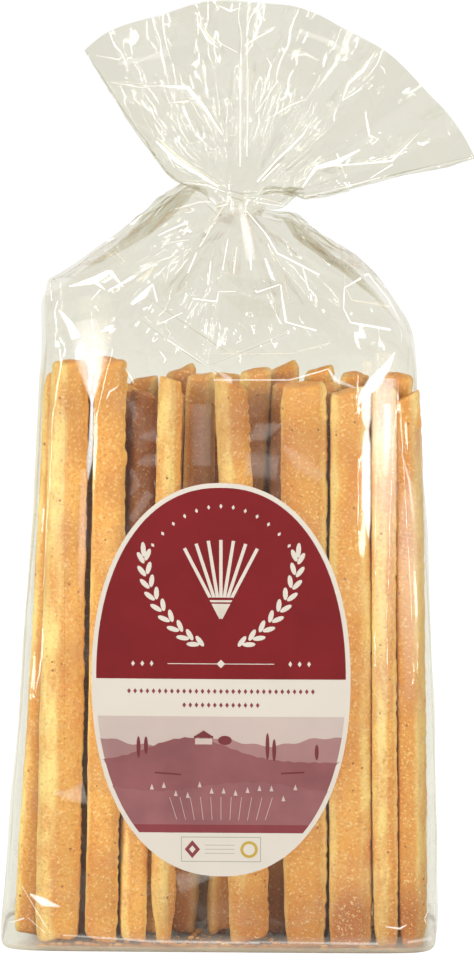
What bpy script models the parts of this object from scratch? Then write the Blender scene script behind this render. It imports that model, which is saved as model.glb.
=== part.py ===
# A tied clear bag of grissini: the film bag with its breadsticks as one solid, its oval label and its tie.
# Metres, +Z up. The bag stands on its flat base, with its label towards -Y.
# The origin is in the middle of the base.

import math

import bmesh
import bpy
from mathutils import Vector

MM = 0.001

# The body, which the breadsticks fill: wider at the base than where it is gathered above them.
BASE_LEFT = -84.5 * MM
BASE_RIGHT = 81.6 * MM
TOP_LEFT = -68.8 * MM
TOP_RIGHT = 73.2 * MM
RIGHT_BELLY = 2.6 * MM
BASE_DEPTH = 54.0 * MM
TOP_DEPTH = 49.0 * MM
STICK_TOP = 223.0 * MM
BOX_ROUNDNESS = 9.0
PANEL_BULGE = 1.2 * MM
EDGE_RADIUS = 2.4 * MM

# The film dips a little between one breadstick and the next.
STICKS_ACROSS = 11
STICKS_DEEP = 3
FLUTE_DEPTH = 0.9 * MM
FLUTE_START = 8.0 * MM
FLUTE_FADE = 14.0 * MM

# The shoulders, from the height where the film leaves the upright to the tie.
SHOULDER_START = 229.0 * MM
LEFT_CORNER_RISE = 25.0 * MM
LEFT_BILLOW = 25.5 * MM
RIGHT_BILLOW = 8.0 * MM
BILLOW_POWER = 1.35
BILLOW_END = 0.74  # the share of the way in to the neck where the film starts to drop to the tie
GUSSET_CREASE = 2.5 * MM
GUSSET_FOLD = 13.0 * MM
PLEATS = 16
SHOULDER_PLEAT = 2.2 * MM

# The neck, gathered by the tie.
TIE_CENTRE = Vector((6.2, 0.0, 282.0)) * MM
NECK_HALF_WIDTH = 8.4 * MM
NECK_HALF_DEPTH = 6.6 * MM
NECK_HALF_HEIGHT = 2.0 * MM
TIE_THICKNESS = 0.9 * MM
TIE_HEIGHT = 2.4 * MM
GAP = 0.3 * MM

# The fan of film above the tie: a sector round the tie, longer at its two corners.
FAN_RADIUS = 78.2 * MM
FAN_LEFT_ANGLE = math.radians(134.0)
FAN_RIGHT_ANGLE = math.radians(13.0)
FAN_LEFT_EXTRA = 4.5 * MM
FAN_RIGHT_EXTRA = 11.5 * MM
FAN_THICKNESS = 2.6 * MM
FAN_WAVE = 4.2 * MM
FAN_WAVES = 4.5
FAN_FLARE = 12.5 * MM  # how far the film springs out sideways just above the tie
FAN_FLARE_END = 0.2
FAN_FLAT_FROM = 0.3

# The oval paper label on the front panel.
LABEL_CENTRE_Z = 106.8 * MM
LABEL_HALF_WIDTH = 48.2 * MM
LABEL_HALF_HEIGHT = 74.8 * MM
LABEL_THICKNESS = 0.4 * MM

# How finely the bag's solid is divided: four columns of faces to each flute.
COLUMNS_PER_FLUTE = 4
BODY_ROWS = 13
SHOULDER_ROWS = 13
FAN_ROWS = 15
FAN_ROW_CROWDING = 1.3
LABEL_POINTS_AROUND = 72
LABEL_CIRCLES = 7
SHARP_EDGE = math.radians(35.0)


def clear_scene():
    for obj in list(bpy.data.objects):
        bpy.data.objects.remove(obj)


def mix(start, end, share):
    return start + (end - start) * share


def smooth(low, high, value):
    share = min(max((value - low) / (high - low), 0.0), 1.0)
    return share * share * (3.0 - 2.0 * share)


def rounded(across, deep, roundness):
    """A point on a unit square's outline, drawn in to one with round corners, or to a circle at roundness 2."""
    size = (abs(across) ** roundness + abs(deep) ** roundness) ** (1.0 / roundness)
    return across / size, deep / size


def outline_columns():
    """(across, deep) of each column, from -1 to 1, once round the bag from its front left corner."""
    wide = STICKS_ACROSS * COLUMNS_PER_FLUTE
    thick = STICKS_DEEP * COLUMNS_PER_FLUTE
    front = [(mix(-1.0, 1.0, i / wide), -1.0) for i in range(wide)]
    right = [(1.0, mix(-1.0, 1.0, i / thick)) for i in range(thick)]
    back = [(-across, 1.0) for across, deep in front]
    left = [(-1.0, -deep) for across, deep in right]
    return front + right + back + left


def left_weight(across):
    return smooth(0.15, 1.0, -across)


def right_weight(across):
    return smooth(0.15, 1.0, across)


def in_label(x, z):
    """1 under the stiff label, where the film can't dip, falling to 0 just outside it."""
    reach = math.hypot(x / LABEL_HALF_WIDTH, (z - LABEL_CENTRE_Z) / LABEL_HALF_HEIGHT)
    return 1.0 - smooth(1.02, 1.2, reach)


def half_depth(z):
    return mix(BASE_DEPTH, TOP_DEPTH, z / STICK_TOP) / 2.0


def panel_bulge(share_across, z):
    """How far the front or back panel stands out in its middle."""
    return PANEL_BULGE * (1.0 - share_across**2) * math.sin(math.pi * min(z / SHOULDER_START, 1.0))


def flute(across, deep):
    """0 on the crest of a breadstick and 1 in the groove between two."""
    if abs(deep) == 1.0:
        turns = STICKS_ACROSS * (across + 1.0) / 2.0
    else:
        turns = STICKS_DEEP * (deep + 1.0) / 2.0
    return 1.0 - abs(math.sin(math.pi * turns))


def body_point(across, deep, z, inset=0.0):
    """The film round the breadsticks, at height z."""
    a, d = rounded(across, deep, BOX_ROUNDNESS)
    rise = z / STICK_TOP
    left = mix(BASE_LEFT, TOP_LEFT, rise)
    right = mix(BASE_RIGHT, TOP_RIGHT, rise) + RIGHT_BELLY * math.sin(math.pi * min(rise, 1.0))
    x = mix(left, right, (a + 1.0) / 2.0)
    y = d * half_depth(z) + d * panel_bulge(a, z)
    power = BOX_ROUNDNESS - 1.0
    outward = Vector((math.copysign(abs(a) ** power, a), math.copysign(abs(d) ** power, d), 0.0)).normalized()
    dip = FLUTE_DEPTH * flute(across, deep) * smooth(0.0, FLUTE_START, z)
    dip *= smooth(STICK_TOP, STICK_TOP - FLUTE_FADE, z)
    if deep == -1.0:
        dip *= 1.0 - in_label(x, z)
    if abs(across) == 1.0:
        dip += GUSSET_CREASE * (1.0 - abs(deep)) * smooth(0.0, STICK_TOP, z)
    return Vector((x, y, z)) - outward * (dip + inset)


def neck_point(across, deep, height):
    a, d = rounded(across, deep, 2.0)
    return TIE_CENTRE + Vector((a * NECK_HALF_WIDTH, d * NECK_HALF_DEPTH, height))


def shoulder_start(across):
    """The film stays upright higher up at the left corner than elsewhere."""
    return SHOULDER_START + LEFT_CORNER_RISE * left_weight(across)


def pleat_wave(across, deep):
    """Gathered pleats round the neck, uneven in depth, from -1 to 1."""
    turn = math.atan2(deep, across)
    ridge = 2.0 * abs(math.sin(PLEATS * turn / 2.0)) - 1.0
    return ridge * (0.7 + 0.3 * math.sin(3.0 * turn + 1.0))


def shoulder_point(across, deep, share):
    """The film from the body's top, at share 0, to the neck, at share 1."""
    a, d = rounded(across, deep, BOX_ROUNDNESS)
    start_z = shoulder_start(a)
    start = body_point(across, deep, start_z)
    end = neck_point(across, deep, -NECK_HALF_HEIGHT)
    fullness = 1.3 + 0.22 * right_weight(a) - 0.3 * left_weight(a)
    turn = share * math.pi / 2.0
    drawn_in = 1.0 - math.cos(turn) ** (2.0 / fullness)
    raised = math.sin(turn) ** (2.0 / fullness)
    x = mix(start.x, end.x, drawn_in)
    y = mix(start.y, end.y, drawn_in)
    z = mix(start_z, end.z, raised)
    billow = LEFT_BILLOW * left_weight(a) + RIGHT_BILLOW * right_weight(a)
    z += billow * drawn_in**BILLOW_POWER * (1.0 - smooth(BILLOW_END, 1.0, drawn_in))
    middle = math.sin(math.pi * drawn_in)
    if abs(across) == 1.0:
        x -= math.copysign(GUSSET_FOLD * (1.0 - abs(deep)) * middle, across)
    pleat = SHOULDER_PLEAT * pleat_wave(across, deep) * middle**1.5
    lean = Vector((0.5 * a, d, 0.5)).normalized()
    return Vector((x, y, z)) + lean * pleat


def fan_rim(a):
    """(x, z) on the fan's curved rim, from its left corner at -1 to its right one at 1."""
    angle = mix(FAN_LEFT_ANGLE, FAN_RIGHT_ANGLE, (a + 1.0) / 2.0)
    radius = FAN_RADIUS + FAN_LEFT_EXTRA * smooth(0.55, 1.0, -a) + FAN_RIGHT_EXTRA * max(a, 0.0) ** 2.2
    return TIE_CENTRE.x + radius * math.cos(angle), TIE_CENTRE.z + radius * math.sin(angle)


def fan_point(across, deep, share):
    """The film above the tie, from the neck at share 0 to the rim at share 1."""
    roundness = mix(2.0, BOX_ROUNDNESS, smooth(0.0, FAN_FLAT_FROM, share))
    a, d = rounded(across, deep, roundness)
    start = neck_point(across, deep, NECK_HALF_HEIGHT)
    rim_x, rim_z = fan_rim(a)
    flare = a * FAN_FLARE
    x = mix(start.x, rim_x - flare, share) + flare * smooth(0.0, FAN_FLARE_END, share)
    z = mix(start.z, rim_z, share)
    flat = mix(start.y, d * FAN_THICKNESS / 2.0, smooth(0.0, FAN_FLAT_FROM, share))
    y = flat + FAN_WAVE * share * math.sin(math.pi * FAN_WAVES * (a + 0.1))
    return Vector((x, y, z))


def bag_rings():
    """The rings of points that the bag's skin runs through, from its base to the fan's rim."""
    columns = outline_columns()
    rings = []
    for z, inset in ((0.0, EDGE_RADIUS), (0.25 * EDGE_RADIUS, 0.35 * EDGE_RADIUS), (EDGE_RADIUS, 0.0)):
        rings.append([body_point(across, deep, z, inset) for across, deep in columns])
    for row in range(1, BODY_ROWS + 1):
        ring = []
        for across, deep in columns:
            top = shoulder_start(rounded(across, deep, BOX_ROUNDNESS)[0])
            ring.append(body_point(across, deep, mix(EDGE_RADIUS, top, row / BODY_ROWS)))
        rings.append(ring)
    for row in range(1, SHOULDER_ROWS + 1):
        rings.append([shoulder_point(across, deep, row / SHOULDER_ROWS) for across, deep in columns])
    for row in range(FAN_ROWS + 1):
        share = (row / FAN_ROWS) ** FAN_ROW_CROWDING
        rings.append([fan_point(across, deep, share) for across, deep in columns])
    return rings


def cap(mesh, ring, wide, flip):
    """Closes a ring by joining each point of the front panel to the one behind it on the back panel."""
    count = len(ring)
    thick = count // 2 - wide
    lower = [ring[i % count] for i in range(-(thick // 2), wide + thick // 2 + 1)]
    upper = [ring[(count - thick // 2 - i) % count] for i in range(len(lower))]
    for i in range(len(lower) - 1):
        corners = []
        for vertex in (lower[i], lower[i + 1], upper[i + 1], upper[i]):
            if vertex not in corners:
                corners.append(vertex)
        mesh.faces.new(corners[::-1] if flip else corners)


def make_bag():
    mesh = bmesh.new()
    rings = [[mesh.verts.new(point) for point in ring] for ring in bag_rings()]
    count = len(rings[0])
    for low, high in zip(rings, rings[1:]):
        for i in range(count):
            j = (i + 1) % count
            mesh.faces.new((low[i], low[j], high[j], high[i]))
    wide = STICKS_ACROSS * COLUMNS_PER_FLUTE
    cap(mesh, rings[0], wide, flip=True)
    cap(mesh, rings[-1], wide, flip=False)
    return finish("bag", mesh)


def label_front(x, z):
    """The y of the front panel's crest line under the label."""
    middle = mix(BASE_LEFT + BASE_RIGHT, TOP_LEFT + TOP_RIGHT, z / STICK_TOP) / 2.0
    half_width = mix(BASE_RIGHT - BASE_LEFT, TOP_RIGHT - TOP_LEFT, z / STICK_TOP) / 2.0
    share_across = (x - middle) / half_width
    return -half_depth(z) - panel_bulge(share_across, z)


def make_label():
    """An oval sheet that follows the front panel, thickened away from the bag."""
    around = LABEL_POINTS_AROUND
    mesh = bmesh.new()
    centre_y = label_front(0.0, LABEL_CENTRE_Z) - GAP
    previous = [mesh.verts.new((0.0, centre_y, LABEL_CENTRE_Z))]
    for circle in range(1, LABEL_CIRCLES + 1):
        current = []
        for i in range(around):
            turn = 2.0 * math.pi * i / around
            x = LABEL_HALF_WIDTH * circle / LABEL_CIRCLES * math.cos(turn)
            z = LABEL_CENTRE_Z + LABEL_HALF_HEIGHT * circle / LABEL_CIRCLES * math.sin(turn)
            current.append(mesh.verts.new((x, label_front(x, z) - GAP, z)))
        for i in range(around):
            j = (i + 1) % around
            if circle == 1:
                mesh.faces.new((previous[0], current[i], current[j]))
            else:
                mesh.faces.new((previous[i], current[i], current[j], previous[j]))
        previous = current
    label = finish("label", mesh)
    thickness = label.modifiers.new("paper", "SOLIDIFY")
    thickness.thickness = LABEL_THICKNESS
    thickness.offset = 1.0
    return label


def make_tie():
    """A clear band round the neck, higher than it is thick."""
    ring_radius = NECK_HALF_WIDTH + GAP + TIE_THICKNESS / 2.0
    bpy.ops.mesh.primitive_torus_add(
        location=TIE_CENTRE,
        major_radius=ring_radius,
        minor_radius=TIE_THICKNESS / 2.0,
        major_segments=48,
        minor_segments=8,
    )
    tie = bpy.context.object
    tie.name = "tie"
    depth_ratio = (NECK_HALF_DEPTH + 2.0 * GAP + TIE_THICKNESS / 2.0) / ring_radius
    tie.scale = (1.0, depth_ratio, TIE_HEIGHT / TIE_THICKNESS)
    bpy.ops.object.transform_apply(location=False, rotation=False, scale=True)
    shade(tie)
    return tie


def finish(name, mesh):
    """Turns a bmesh into a named object, shaded smooth but for its sharp edges."""
    data = bpy.data.meshes.new(name)
    mesh.to_mesh(data)
    mesh.free()
    obj = bpy.data.objects.new(name, data)
    bpy.context.scene.collection.objects.link(obj)
    shade(obj)
    return obj


def shade(obj):
    obj.data.shade_smooth()
    obj.data.set_sharp_from_angle(angle=SHARP_EDGE)


def paint(obj, colour, roughness, alpha=1.0):
    material = bpy.data.materials.new(obj.name)
    material.use_nodes = True
    surface = material.node_tree.nodes["Principled BSDF"]
    surface.inputs["Base Color"].default_value = (*colour, 1.0)
    surface.inputs["Roughness"].default_value = roughness
    surface.inputs["Metallic"].default_value = 0.0
    surface.inputs["Alpha"].default_value = alpha
    obj.data.materials.clear()
    obj.data.materials.append(material)


def main():
    clear_scene()
    paint(make_bag(), colour=(0.72, 0.44, 0.17), roughness=0.35)
    paint(make_label(), colour=(0.29, 0.04, 0.04), roughness=0.5)
    paint(make_tie(), colour=(0.83, 0.82, 0.72), roughness=0.3)


main()
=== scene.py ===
import itertools
import math
import random

import bmesh
import bpy
import numpy as np
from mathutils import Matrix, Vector, kdtree
from mathutils.bvhtree import BVHTree


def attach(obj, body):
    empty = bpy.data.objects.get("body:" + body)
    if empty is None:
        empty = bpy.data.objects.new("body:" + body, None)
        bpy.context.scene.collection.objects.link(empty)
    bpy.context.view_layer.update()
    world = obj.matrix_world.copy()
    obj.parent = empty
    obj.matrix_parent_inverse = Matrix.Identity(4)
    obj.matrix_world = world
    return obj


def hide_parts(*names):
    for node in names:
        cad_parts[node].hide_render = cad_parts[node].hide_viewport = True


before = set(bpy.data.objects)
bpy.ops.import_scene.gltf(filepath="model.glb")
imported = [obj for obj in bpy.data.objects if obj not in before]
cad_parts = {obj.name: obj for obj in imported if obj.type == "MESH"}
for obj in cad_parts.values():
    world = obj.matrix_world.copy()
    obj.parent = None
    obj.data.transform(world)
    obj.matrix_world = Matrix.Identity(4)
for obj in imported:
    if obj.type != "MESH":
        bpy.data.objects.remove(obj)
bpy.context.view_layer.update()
MM = 0.001

# The picture: a pale floor, a softbox at each side and one above, two narrow strips of light that only
# the film mirrors, and a long lens that looks slightly down on the standing bag. The whole height of
# the photo is PHOTO_HEIGHT pixels, and each is PIXEL wide at the bag's front.
PHOTO_HEIGHT = 965
PIXEL = 0.3727 * MM
CAMERA_DISTANCE = 2.6
CAMERA_AZIMUTH = math.radians(1.5)
CAMERA_ELEVATION = math.radians(12.5)
CAMERA_AIM = Vector((6.0, -26.4, 182.9)) * MM
SENSOR = 36.0
FLOOR_SIZE = 14.0
FLOOR_DROP = 0.3 * MM
FLOOR_COLOUR = (0.14, 0.14, 0.14, 1.0)
FLOOR_GLOW = 0.95
WORLD_LIGHT = 0.34
MIRRORED_FRONT = 0.10
MIRRORED_BACK = 0.90
SOFTBOX_AIM = Vector((0.0, 0.0, 0.15))
SOFTBOXES = (
    # name, place, width, height, watts, lights the sticks, shows in the film
    ("left_strip", (-0.320, -0.566, 0.16), 0.05, 0.5, 2.4, False, True),
    ("right_strip", (0.290, -0.582, 0.16), 0.05, 0.5, 2.4, False, True),
    ("left_softbox", (-1.45, -1.25, 0.65), 0.8, 1.2, 33.5, True, False),
    ("right_softbox", (1.5, -1.15, 0.60), 0.8, 1.2, 23.5, True, False),
    ("top_softbox", (0.1, -0.6, 1.5), 1.2, 0.8, 13.0, True, False),
)


def new_material(name):
    """An empty material, its tree and its output."""
    made = bpy.data.materials.new(name)
    made.use_nodes = True
    made.node_tree.nodes.clear()
    output = made.node_tree.nodes.new("ShaderNodeOutputMaterial")
    return made, made.node_tree, output


def add_node(tree, kind, settings=(), **values):
    """Adds a node. settings are its own properties, and values its inputs: each is a linked socket or a
    fixed value, named as the input is, or _0, _1, _2 where several share a name."""
    made = tree.nodes.new("ShaderNode" + kind)
    for key, value in dict(settings).items():
        setattr(made, key, value)
    for key, value in values.items():
        socket = made.inputs[int(key[1:]) if key[0] == "_" else key.replace("_", " ")]
        if isinstance(value, bpy.types.NodeSocket):
            tree.links.new(value, socket)
        else:
            socket.default_value = value
    return made


def remap(tree, value, low, high, at_low=0.0, at_high=1.0):
    """A value's place between low and high, as a number from at_low to at_high."""
    made = add_node(tree, "MapRange", Value=value, From_Min=low, From_Max=high, To_Min=at_low,
                    To_Max=at_high)
    return made.outputs["Result"]


camera_data = bpy.data.cameras.new("camera")
camera = bpy.data.objects.new("camera", camera_data)
bpy.context.scene.collection.objects.link(camera)
camera_back = Vector((
    math.sin(CAMERA_AZIMUTH) * math.cos(CAMERA_ELEVATION),
    -math.cos(CAMERA_AZIMUTH) * math.cos(CAMERA_ELEVATION),
    math.sin(CAMERA_ELEVATION),
))
camera.location = CAMERA_AIM + camera_back * CAMERA_DISTANCE
camera.rotation_mode = "QUATERNION"
camera.rotation_quaternion = (-camera_back).to_track_quat("-Z", "Y")
camera_data.sensor_width = SENSOR
camera_data.lens = SENSOR * CAMERA_DISTANCE / (PHOTO_HEIGHT * PIXEL)
camera_data.clip_start = 0.01
camera_data.clip_end = 100.0
bpy.context.scene.camera = camera
bpy.context.scene.view_settings.view_transform = "Standard"
bpy.context.scene.cycles.transparent_max_bounces = 20
bpy.context.scene.cycles.max_bounces = 6
bpy.context.scene.cycles.diffuse_bounces = 3
bpy.context.scene.cycles.glossy_bounces = 1

world = bpy.data.worlds.new("studio")
world.use_nodes = True
tree = world.node_tree
path = add_node(tree, "LightPath")
away = add_node(tree, "TexCoord").outputs["Generated"]
away = add_node(tree, "SeparateXYZ", Vector=away).outputs["Y"]
mirrored = remap(tree, away, -0.75, -0.05, MIRRORED_FRONT, MIRRORED_BACK)
strength = remap(tree, path.outputs["Is Glossy Ray"], 0.0, 1.0, WORLD_LIGHT, mirrored)
tree.links.new(strength, tree.nodes["Background"].inputs["Strength"])
tree.nodes["Background"].inputs["Color"].default_value = (1.0, 1.0, 1.0, 1.0)
bpy.context.scene.world = world

for name, place, width, height, watts, lights_sticks, shows_in_film in SOFTBOXES:
    light = bpy.data.lights.new(name, "AREA")
    light.shape = "RECTANGLE"
    light.size = width
    light.size_y = height
    light.energy = watts
    softbox = bpy.data.objects.new(name, light)
    softbox.location = place
    softbox.rotation_mode = "QUATERNION"
    softbox.rotation_quaternion = (SOFTBOX_AIM - softbox.location).to_track_quat("-Z", "Y")
    softbox.visible_diffuse = lights_sticks
    softbox.visible_glossy = shows_in_film
    bpy.context.scene.collection.objects.link(softbox)

bpy.ops.object.select_all(action="DESELECT")
bpy.ops.mesh.primitive_plane_add(size=FLOOR_SIZE, location=(0.0, 0.0, -FLOOR_DROP))
floor = bpy.context.object
floor.name = "floor"
floor_paint, tree, output = new_material("floor_paint")
surface = add_node(tree, "BsdfPrincipled", Base_Color=FLOOR_COLOUR, Roughness=0.8,
                   Emission_Strength=FLOOR_GLOW)
surface.inputs["Emission Color"].default_value = (1.0, 1.0, 1.0, 1.0)
surface.inputs["Specular IOR Level"].default_value = 0.1
tree.links.new(surface.outputs[0], output.inputs["Surface"])
floor.data.materials.append(floor_paint)
floor.visible_diffuse = False


# The breadsticks: long sticks of dough cut from a sheet, so that their wide faces are golden and
# their cut sides stay pale, stretched by hand and baked dry. They stand packed in three rows.
STICK_WIDTH = 13.0 * MM
STICK_THICKNESS = 11.0 * MM
STICK_LENGTH = 215.0 * MM
STICK_RINGS = 54
STICK_EDGE = 3.4 * MM
STICK_END_EDGE = 2.2 * MM
CRUST_FACE = (0.85, 0.440, 0.090, 1.0)
CRUST_PALE = (0.97, 0.76, 0.27, 1.0)
CRUST_TOASTED = (0.74, 0.30, 0.060, 1.0)
# The brown of baked crust, which also paints the shade on the hidden rows and on the leaning stick.
CRUST_BROWN_AND_SHADE = (0.41, 0.128, 0.024, 1.0)
CRUST_SPECK = (0.36, 0.14, 0.035, 1.0)
CRUST_FLOUR = (0.98, 0.79, 0.40, 1.0)
MOTTLE_SCALE = 120.0
GRAIN_SCALE = 950.0
SPECK_SCALE = 300.0
PIT_SCALE = 700.0
RARE_SPECK = 0.84
# How much painted shade darkens each hidden row, and how much each front stick is darkened: partly its own
# tone, and partly painted shade, larger towards the right.
HIDDEN_ROW_SHADE = {"middle": 0.66, "back": 0.74}
FRONT_TONE_AND_SHADE = (0.02, 0.03, 0.06, 0.06, 0.22, 0.40, 0.26, 0.16, 0.40)
# How much wider each front stick is at its foot than at its head, as a share of its width.
FRONT_FLARE = (0.165, 0.0, 0.0, 0.0, 0.31, -0.05, 0.135, 0.0, 0.0)
LEANING_BACK = 3
# How much of a front stick's width is pale, from its left side and from its right.
PALE_SIDES = (
    (0.34, 0.04), (0.06, 0.02), (0.20, 0.10), (0.48, 0.02), (0.34, 0.05), (0.04, 0.10), (0.14, 0.26),
    (0.50, 0.20), (0.02, 0.22),
)
# Each stick, in mm and degrees: foot x, head x, foot y, head y, foot z, head z, width, thickness, turn,
# and then, as shares, its foot's taper and browning.
FRONT_ROW = (
    (-62.7, -56.5, -17.0, -17.3, 3.0, 227.0, 15.8, 11.5, 13.0, 0.06, 0.15),
    (-45.9, -41.0, -17.0, -17.3, 2.8, 227.5, 12.6, 11.5, 3.0, 0.05, 0.20),
    (-33.8, -29.5, -17.0, -5.5, 2.8, 213.0, 10.2, 10.0, 16.0, 0.10, 0.05),
    (-22.2, -19.0, -17.5, -17.8, 1.0, 220.5, 8.8, 8.4, 33.0, 0.50, 0.40),
    (10.5, 3.3, -17.2, -17.5, 3.0, 220.0, 13.7, 10.5, 14.0, 0.06, 0.55),
    (31.8, 30.8, -17.0, -17.4, 1.0, 219.0, 16.4, 11.5, 2.0, 0.12, 0.25),
    (48.9, 47.7, -17.0, -17.2, 1.0, 216.5, 15.9, 12.0, 4.0, 0.08, 0.85),
    (62.3, 60.6, -17.5, -17.2, 1.0, 217.0, 9.4, 10.5, 12.0, 0.15, 0.30),
    (72.6, 69.0, -16.6, -15.2, 1.0, 213.5, 10.4, 11.0, -14.0, 0.20, 0.45),
)
MIDDLE_ROW = (
    (-74.0, -61.0, -4.0, -5.0, 2.0, 220.0, 12.0, 10.5, -8.0, 0.10, 0.20),
    (-57.5, -48.0, -2.6, -3.0, 2.5, 213.0, 12.0, 11.0, 6.0, 0.10, 0.20),
    (-43.0, -36.0, -2.4, 3.5, 2.0, 213.0, 11.5, 10.0, -5.0, 0.10, 0.20),
    (-29.5, -19.0, -2.4, -2.6, 2.0, 212.0, 10.5, 10.5, 9.0, 0.10, 0.20),
    (-15.4, -7.9, -3.2, -3.2, 3.0, 219.0, 11.5, 10.5, -12.0, 0.12, 0.55),
    (-0.6, 12.6, -3.0, -2.8, 3.0, 221.0, 11.8, 10.5, 10.0, 0.15, 0.45),
    (19.4, 23.6, -2.8, -2.6, 2.6, 217.0, 11.0, 10.5, -6.0, 0.10, 0.40),
    (35.0, 38.0, -2.6, -2.4, 2.0, 215.0, 12.0, 11.0, 5.0, 0.10, 0.20),
    (50.0, 52.0, -2.6, -2.4, 2.0, 214.0, 12.0, 11.0, -7.0, 0.10, 0.20),
    (66.5, 65.6, -3.0, -2.6, 1.5, 219.5, 11.5, 11.0, 8.0, 0.10, 0.30),
)
BACK_ROW = (
    (-69.0, -58.5, 11.0, 10.0, 2.0, 214.0, 12.0, 11.0, -6.0, 0.10, 0.20),
    (-54.5, -44.0, 11.5, 10.5, 2.0, 216.0, 12.2, 11.0, 4.0, 0.10, 0.20),
    (-40.0, -30.0, 11.5, 11.0, 2.0, 214.5, 11.4, 11.0, -8.0, 0.10, 0.20),
    (-26.0, -16.0, 11.5, 11.5, 2.0, 218.3, 12.2, 11.0, 6.0, 0.10, 0.20),
    (-11.5, 1.6, 11.5, 10.5, 2.0, 216.5, 11.6, 11.0, -4.0, 0.10, 0.20),
    (5.0, 22.4, 11.5, 11.0, 2.0, 219.7, 13.0, 11.0, 3.0, 0.10, 0.20),
    (20.0, 36.2, 11.5, 10.5, 2.0, 218.8, 12.6, 11.0, 5.0, 0.10, 0.20),
    (35.5, 49.4, 11.5, 10.5, 2.0, 216.8, 12.0, 11.0, -5.0, 0.10, 0.20),
    (51.0, 62.4, 11.5, 10.5, 2.0, 213.0, 11.8, 11.0, 7.0, 0.10, 0.20),
)


def deselect(mesh):
    """Leaves nothing selected in a mesh that is being edited."""
    for part in (*mesh.faces, *mesh.edges, *mesh.verts):
        part.select = False


def select_edges(obj, wanted):
    """In edit mode, selects the edges that wanted(edge) picks, and nothing else."""
    mesh = bmesh.from_edit_mesh(obj.data)
    mesh.select_mode = {"EDGE"}
    deselect(mesh)
    for edge in mesh.edges:
        if wanted(edge):
            edge.select_set(True)
    mesh.select_flush_mode()
    bmesh.update_edit_mesh(obj.data)


def runs_along(axis):
    """Picks the edges that run along one axis."""
    def wanted(edge):
        run = edge.verts[1].co - edge.verts[0].co
        return abs(run[axis]) > 0.999 * run.length
    return wanted


def ease(low, high, value):
    """0 at low and 1 at high, with a soft start and end. Low may be the larger of the two."""
    share = np.clip((value - low) / (high - low), 0.0, 1.0)
    return share * share * (3.0 - 2.0 * share)


bpy.ops.object.select_all(action="DESELECT")
bpy.ops.mesh.primitive_cube_add(size=1.0, location=(0.0, 0.0, 0.5 * STICK_LENGTH))
plain_stick = bpy.context.object
plain_stick.scale = (STICK_WIDTH, STICK_THICKNESS, STICK_LENGTH)
bpy.ops.object.transform_apply(location=True, rotation=False, scale=True)
bpy.ops.object.mode_set(mode="EDIT")
bpy.context.tool_settings.mesh_select_mode = (False, True, False)
select_edges(plain_stick, runs_along(0))
bpy.ops.mesh.subdivide(number_cuts=2)
select_edges(plain_stick, runs_along(1))
bpy.ops.mesh.subdivide(number_cuts=1)
select_edges(plain_stick, runs_along(2))
bpy.ops.mesh.subdivide(number_cuts=STICK_RINGS)
for height in (STICK_END_EDGE, STICK_LENGTH - STICK_END_EDGE):
    bpy.ops.mesh.select_all(action="SELECT")
    bpy.ops.mesh.bisect(plane_co=(0.0, 0.0, height), plane_no=(0.0, 0.0, 1.0))


def long_corner(edge):
    """Whether an edge is one of the four that run the stick's whole length."""
    middle = (edge.verts[0].co + edge.verts[1].co) / 2.0
    at_corner = abs(middle.x) > 0.49 * STICK_WIDTH and abs(middle.y) > 0.49 * STICK_THICKNESS
    return at_corner and runs_along(2)(edge)


select_edges(plain_stick, long_corner)
bpy.ops.mesh.bevel(offset=STICK_EDGE, segments=2, affect="EDGES")
bpy.ops.object.mode_set(mode="OBJECT")
rounding = plain_stick.modifiers.new("rounding", "SUBSURF")
rounding.levels = 1
rounding.render_levels = 1
bpy.ops.object.modifier_apply(modifier=rounding.name)
plain_stick.data.shade_smooth()


def blend(tree, share, first, second):
    """Two colours mixed by a share of the second."""
    return add_node(tree, "Mix", {"data_type": "RGBA"}, Factor=share, _6=first, _7=second).outputs[2]


def work_out(tree, operation, first, second, third=0.5, clamped=False):
    """One sum on two or three numbers."""
    settings = {"operation": operation, "use_clamp": clamped}
    return add_node(tree, "Math", settings, _0=first, _1=second, _2=third).outputs[0]


def read(tree, name):
    """A number that the mesh keeps at each of its points."""
    return add_node(tree, "Attribute", {"attribute_name": name}).outputs["Fac"]


def cells(tree, place, scale):
    """A pattern of uneven cells."""
    return add_node(tree, "TexVoronoi", {"feature": "F1"}, Vector=place, Scale=scale)


crust, tree, output = new_material("baked_crust")
where = add_node(tree, "TexCoord").outputs["Object"]
stretched = add_node(tree, "Mapping", Vector=where, Scale=(1.0, 1.0, 0.35)).outputs[0]
mottle = add_node(tree, "TexNoise", Vector=stretched, Scale=MOTTLE_SCALE, Detail=4.0, Roughness=0.6)
grain = add_node(tree, "TexNoise", Vector=where, Scale=GRAIN_SCALE, Detail=2.0, Roughness=0.7).outputs["Fac"]
base = blend(tree, remap(tree, read(tree, "cut_side"), 0.10, 0.80), CRUST_FACE, CRUST_PALE)
warm = blend(tree, remap(tree, mottle.outputs["Fac"], 0.42, 0.68, 0.0, 0.85), base, CRUST_TOASTED)
brown_grain = work_out(tree, "MULTIPLY_ADD", grain, 1.6, 0.2)
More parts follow.
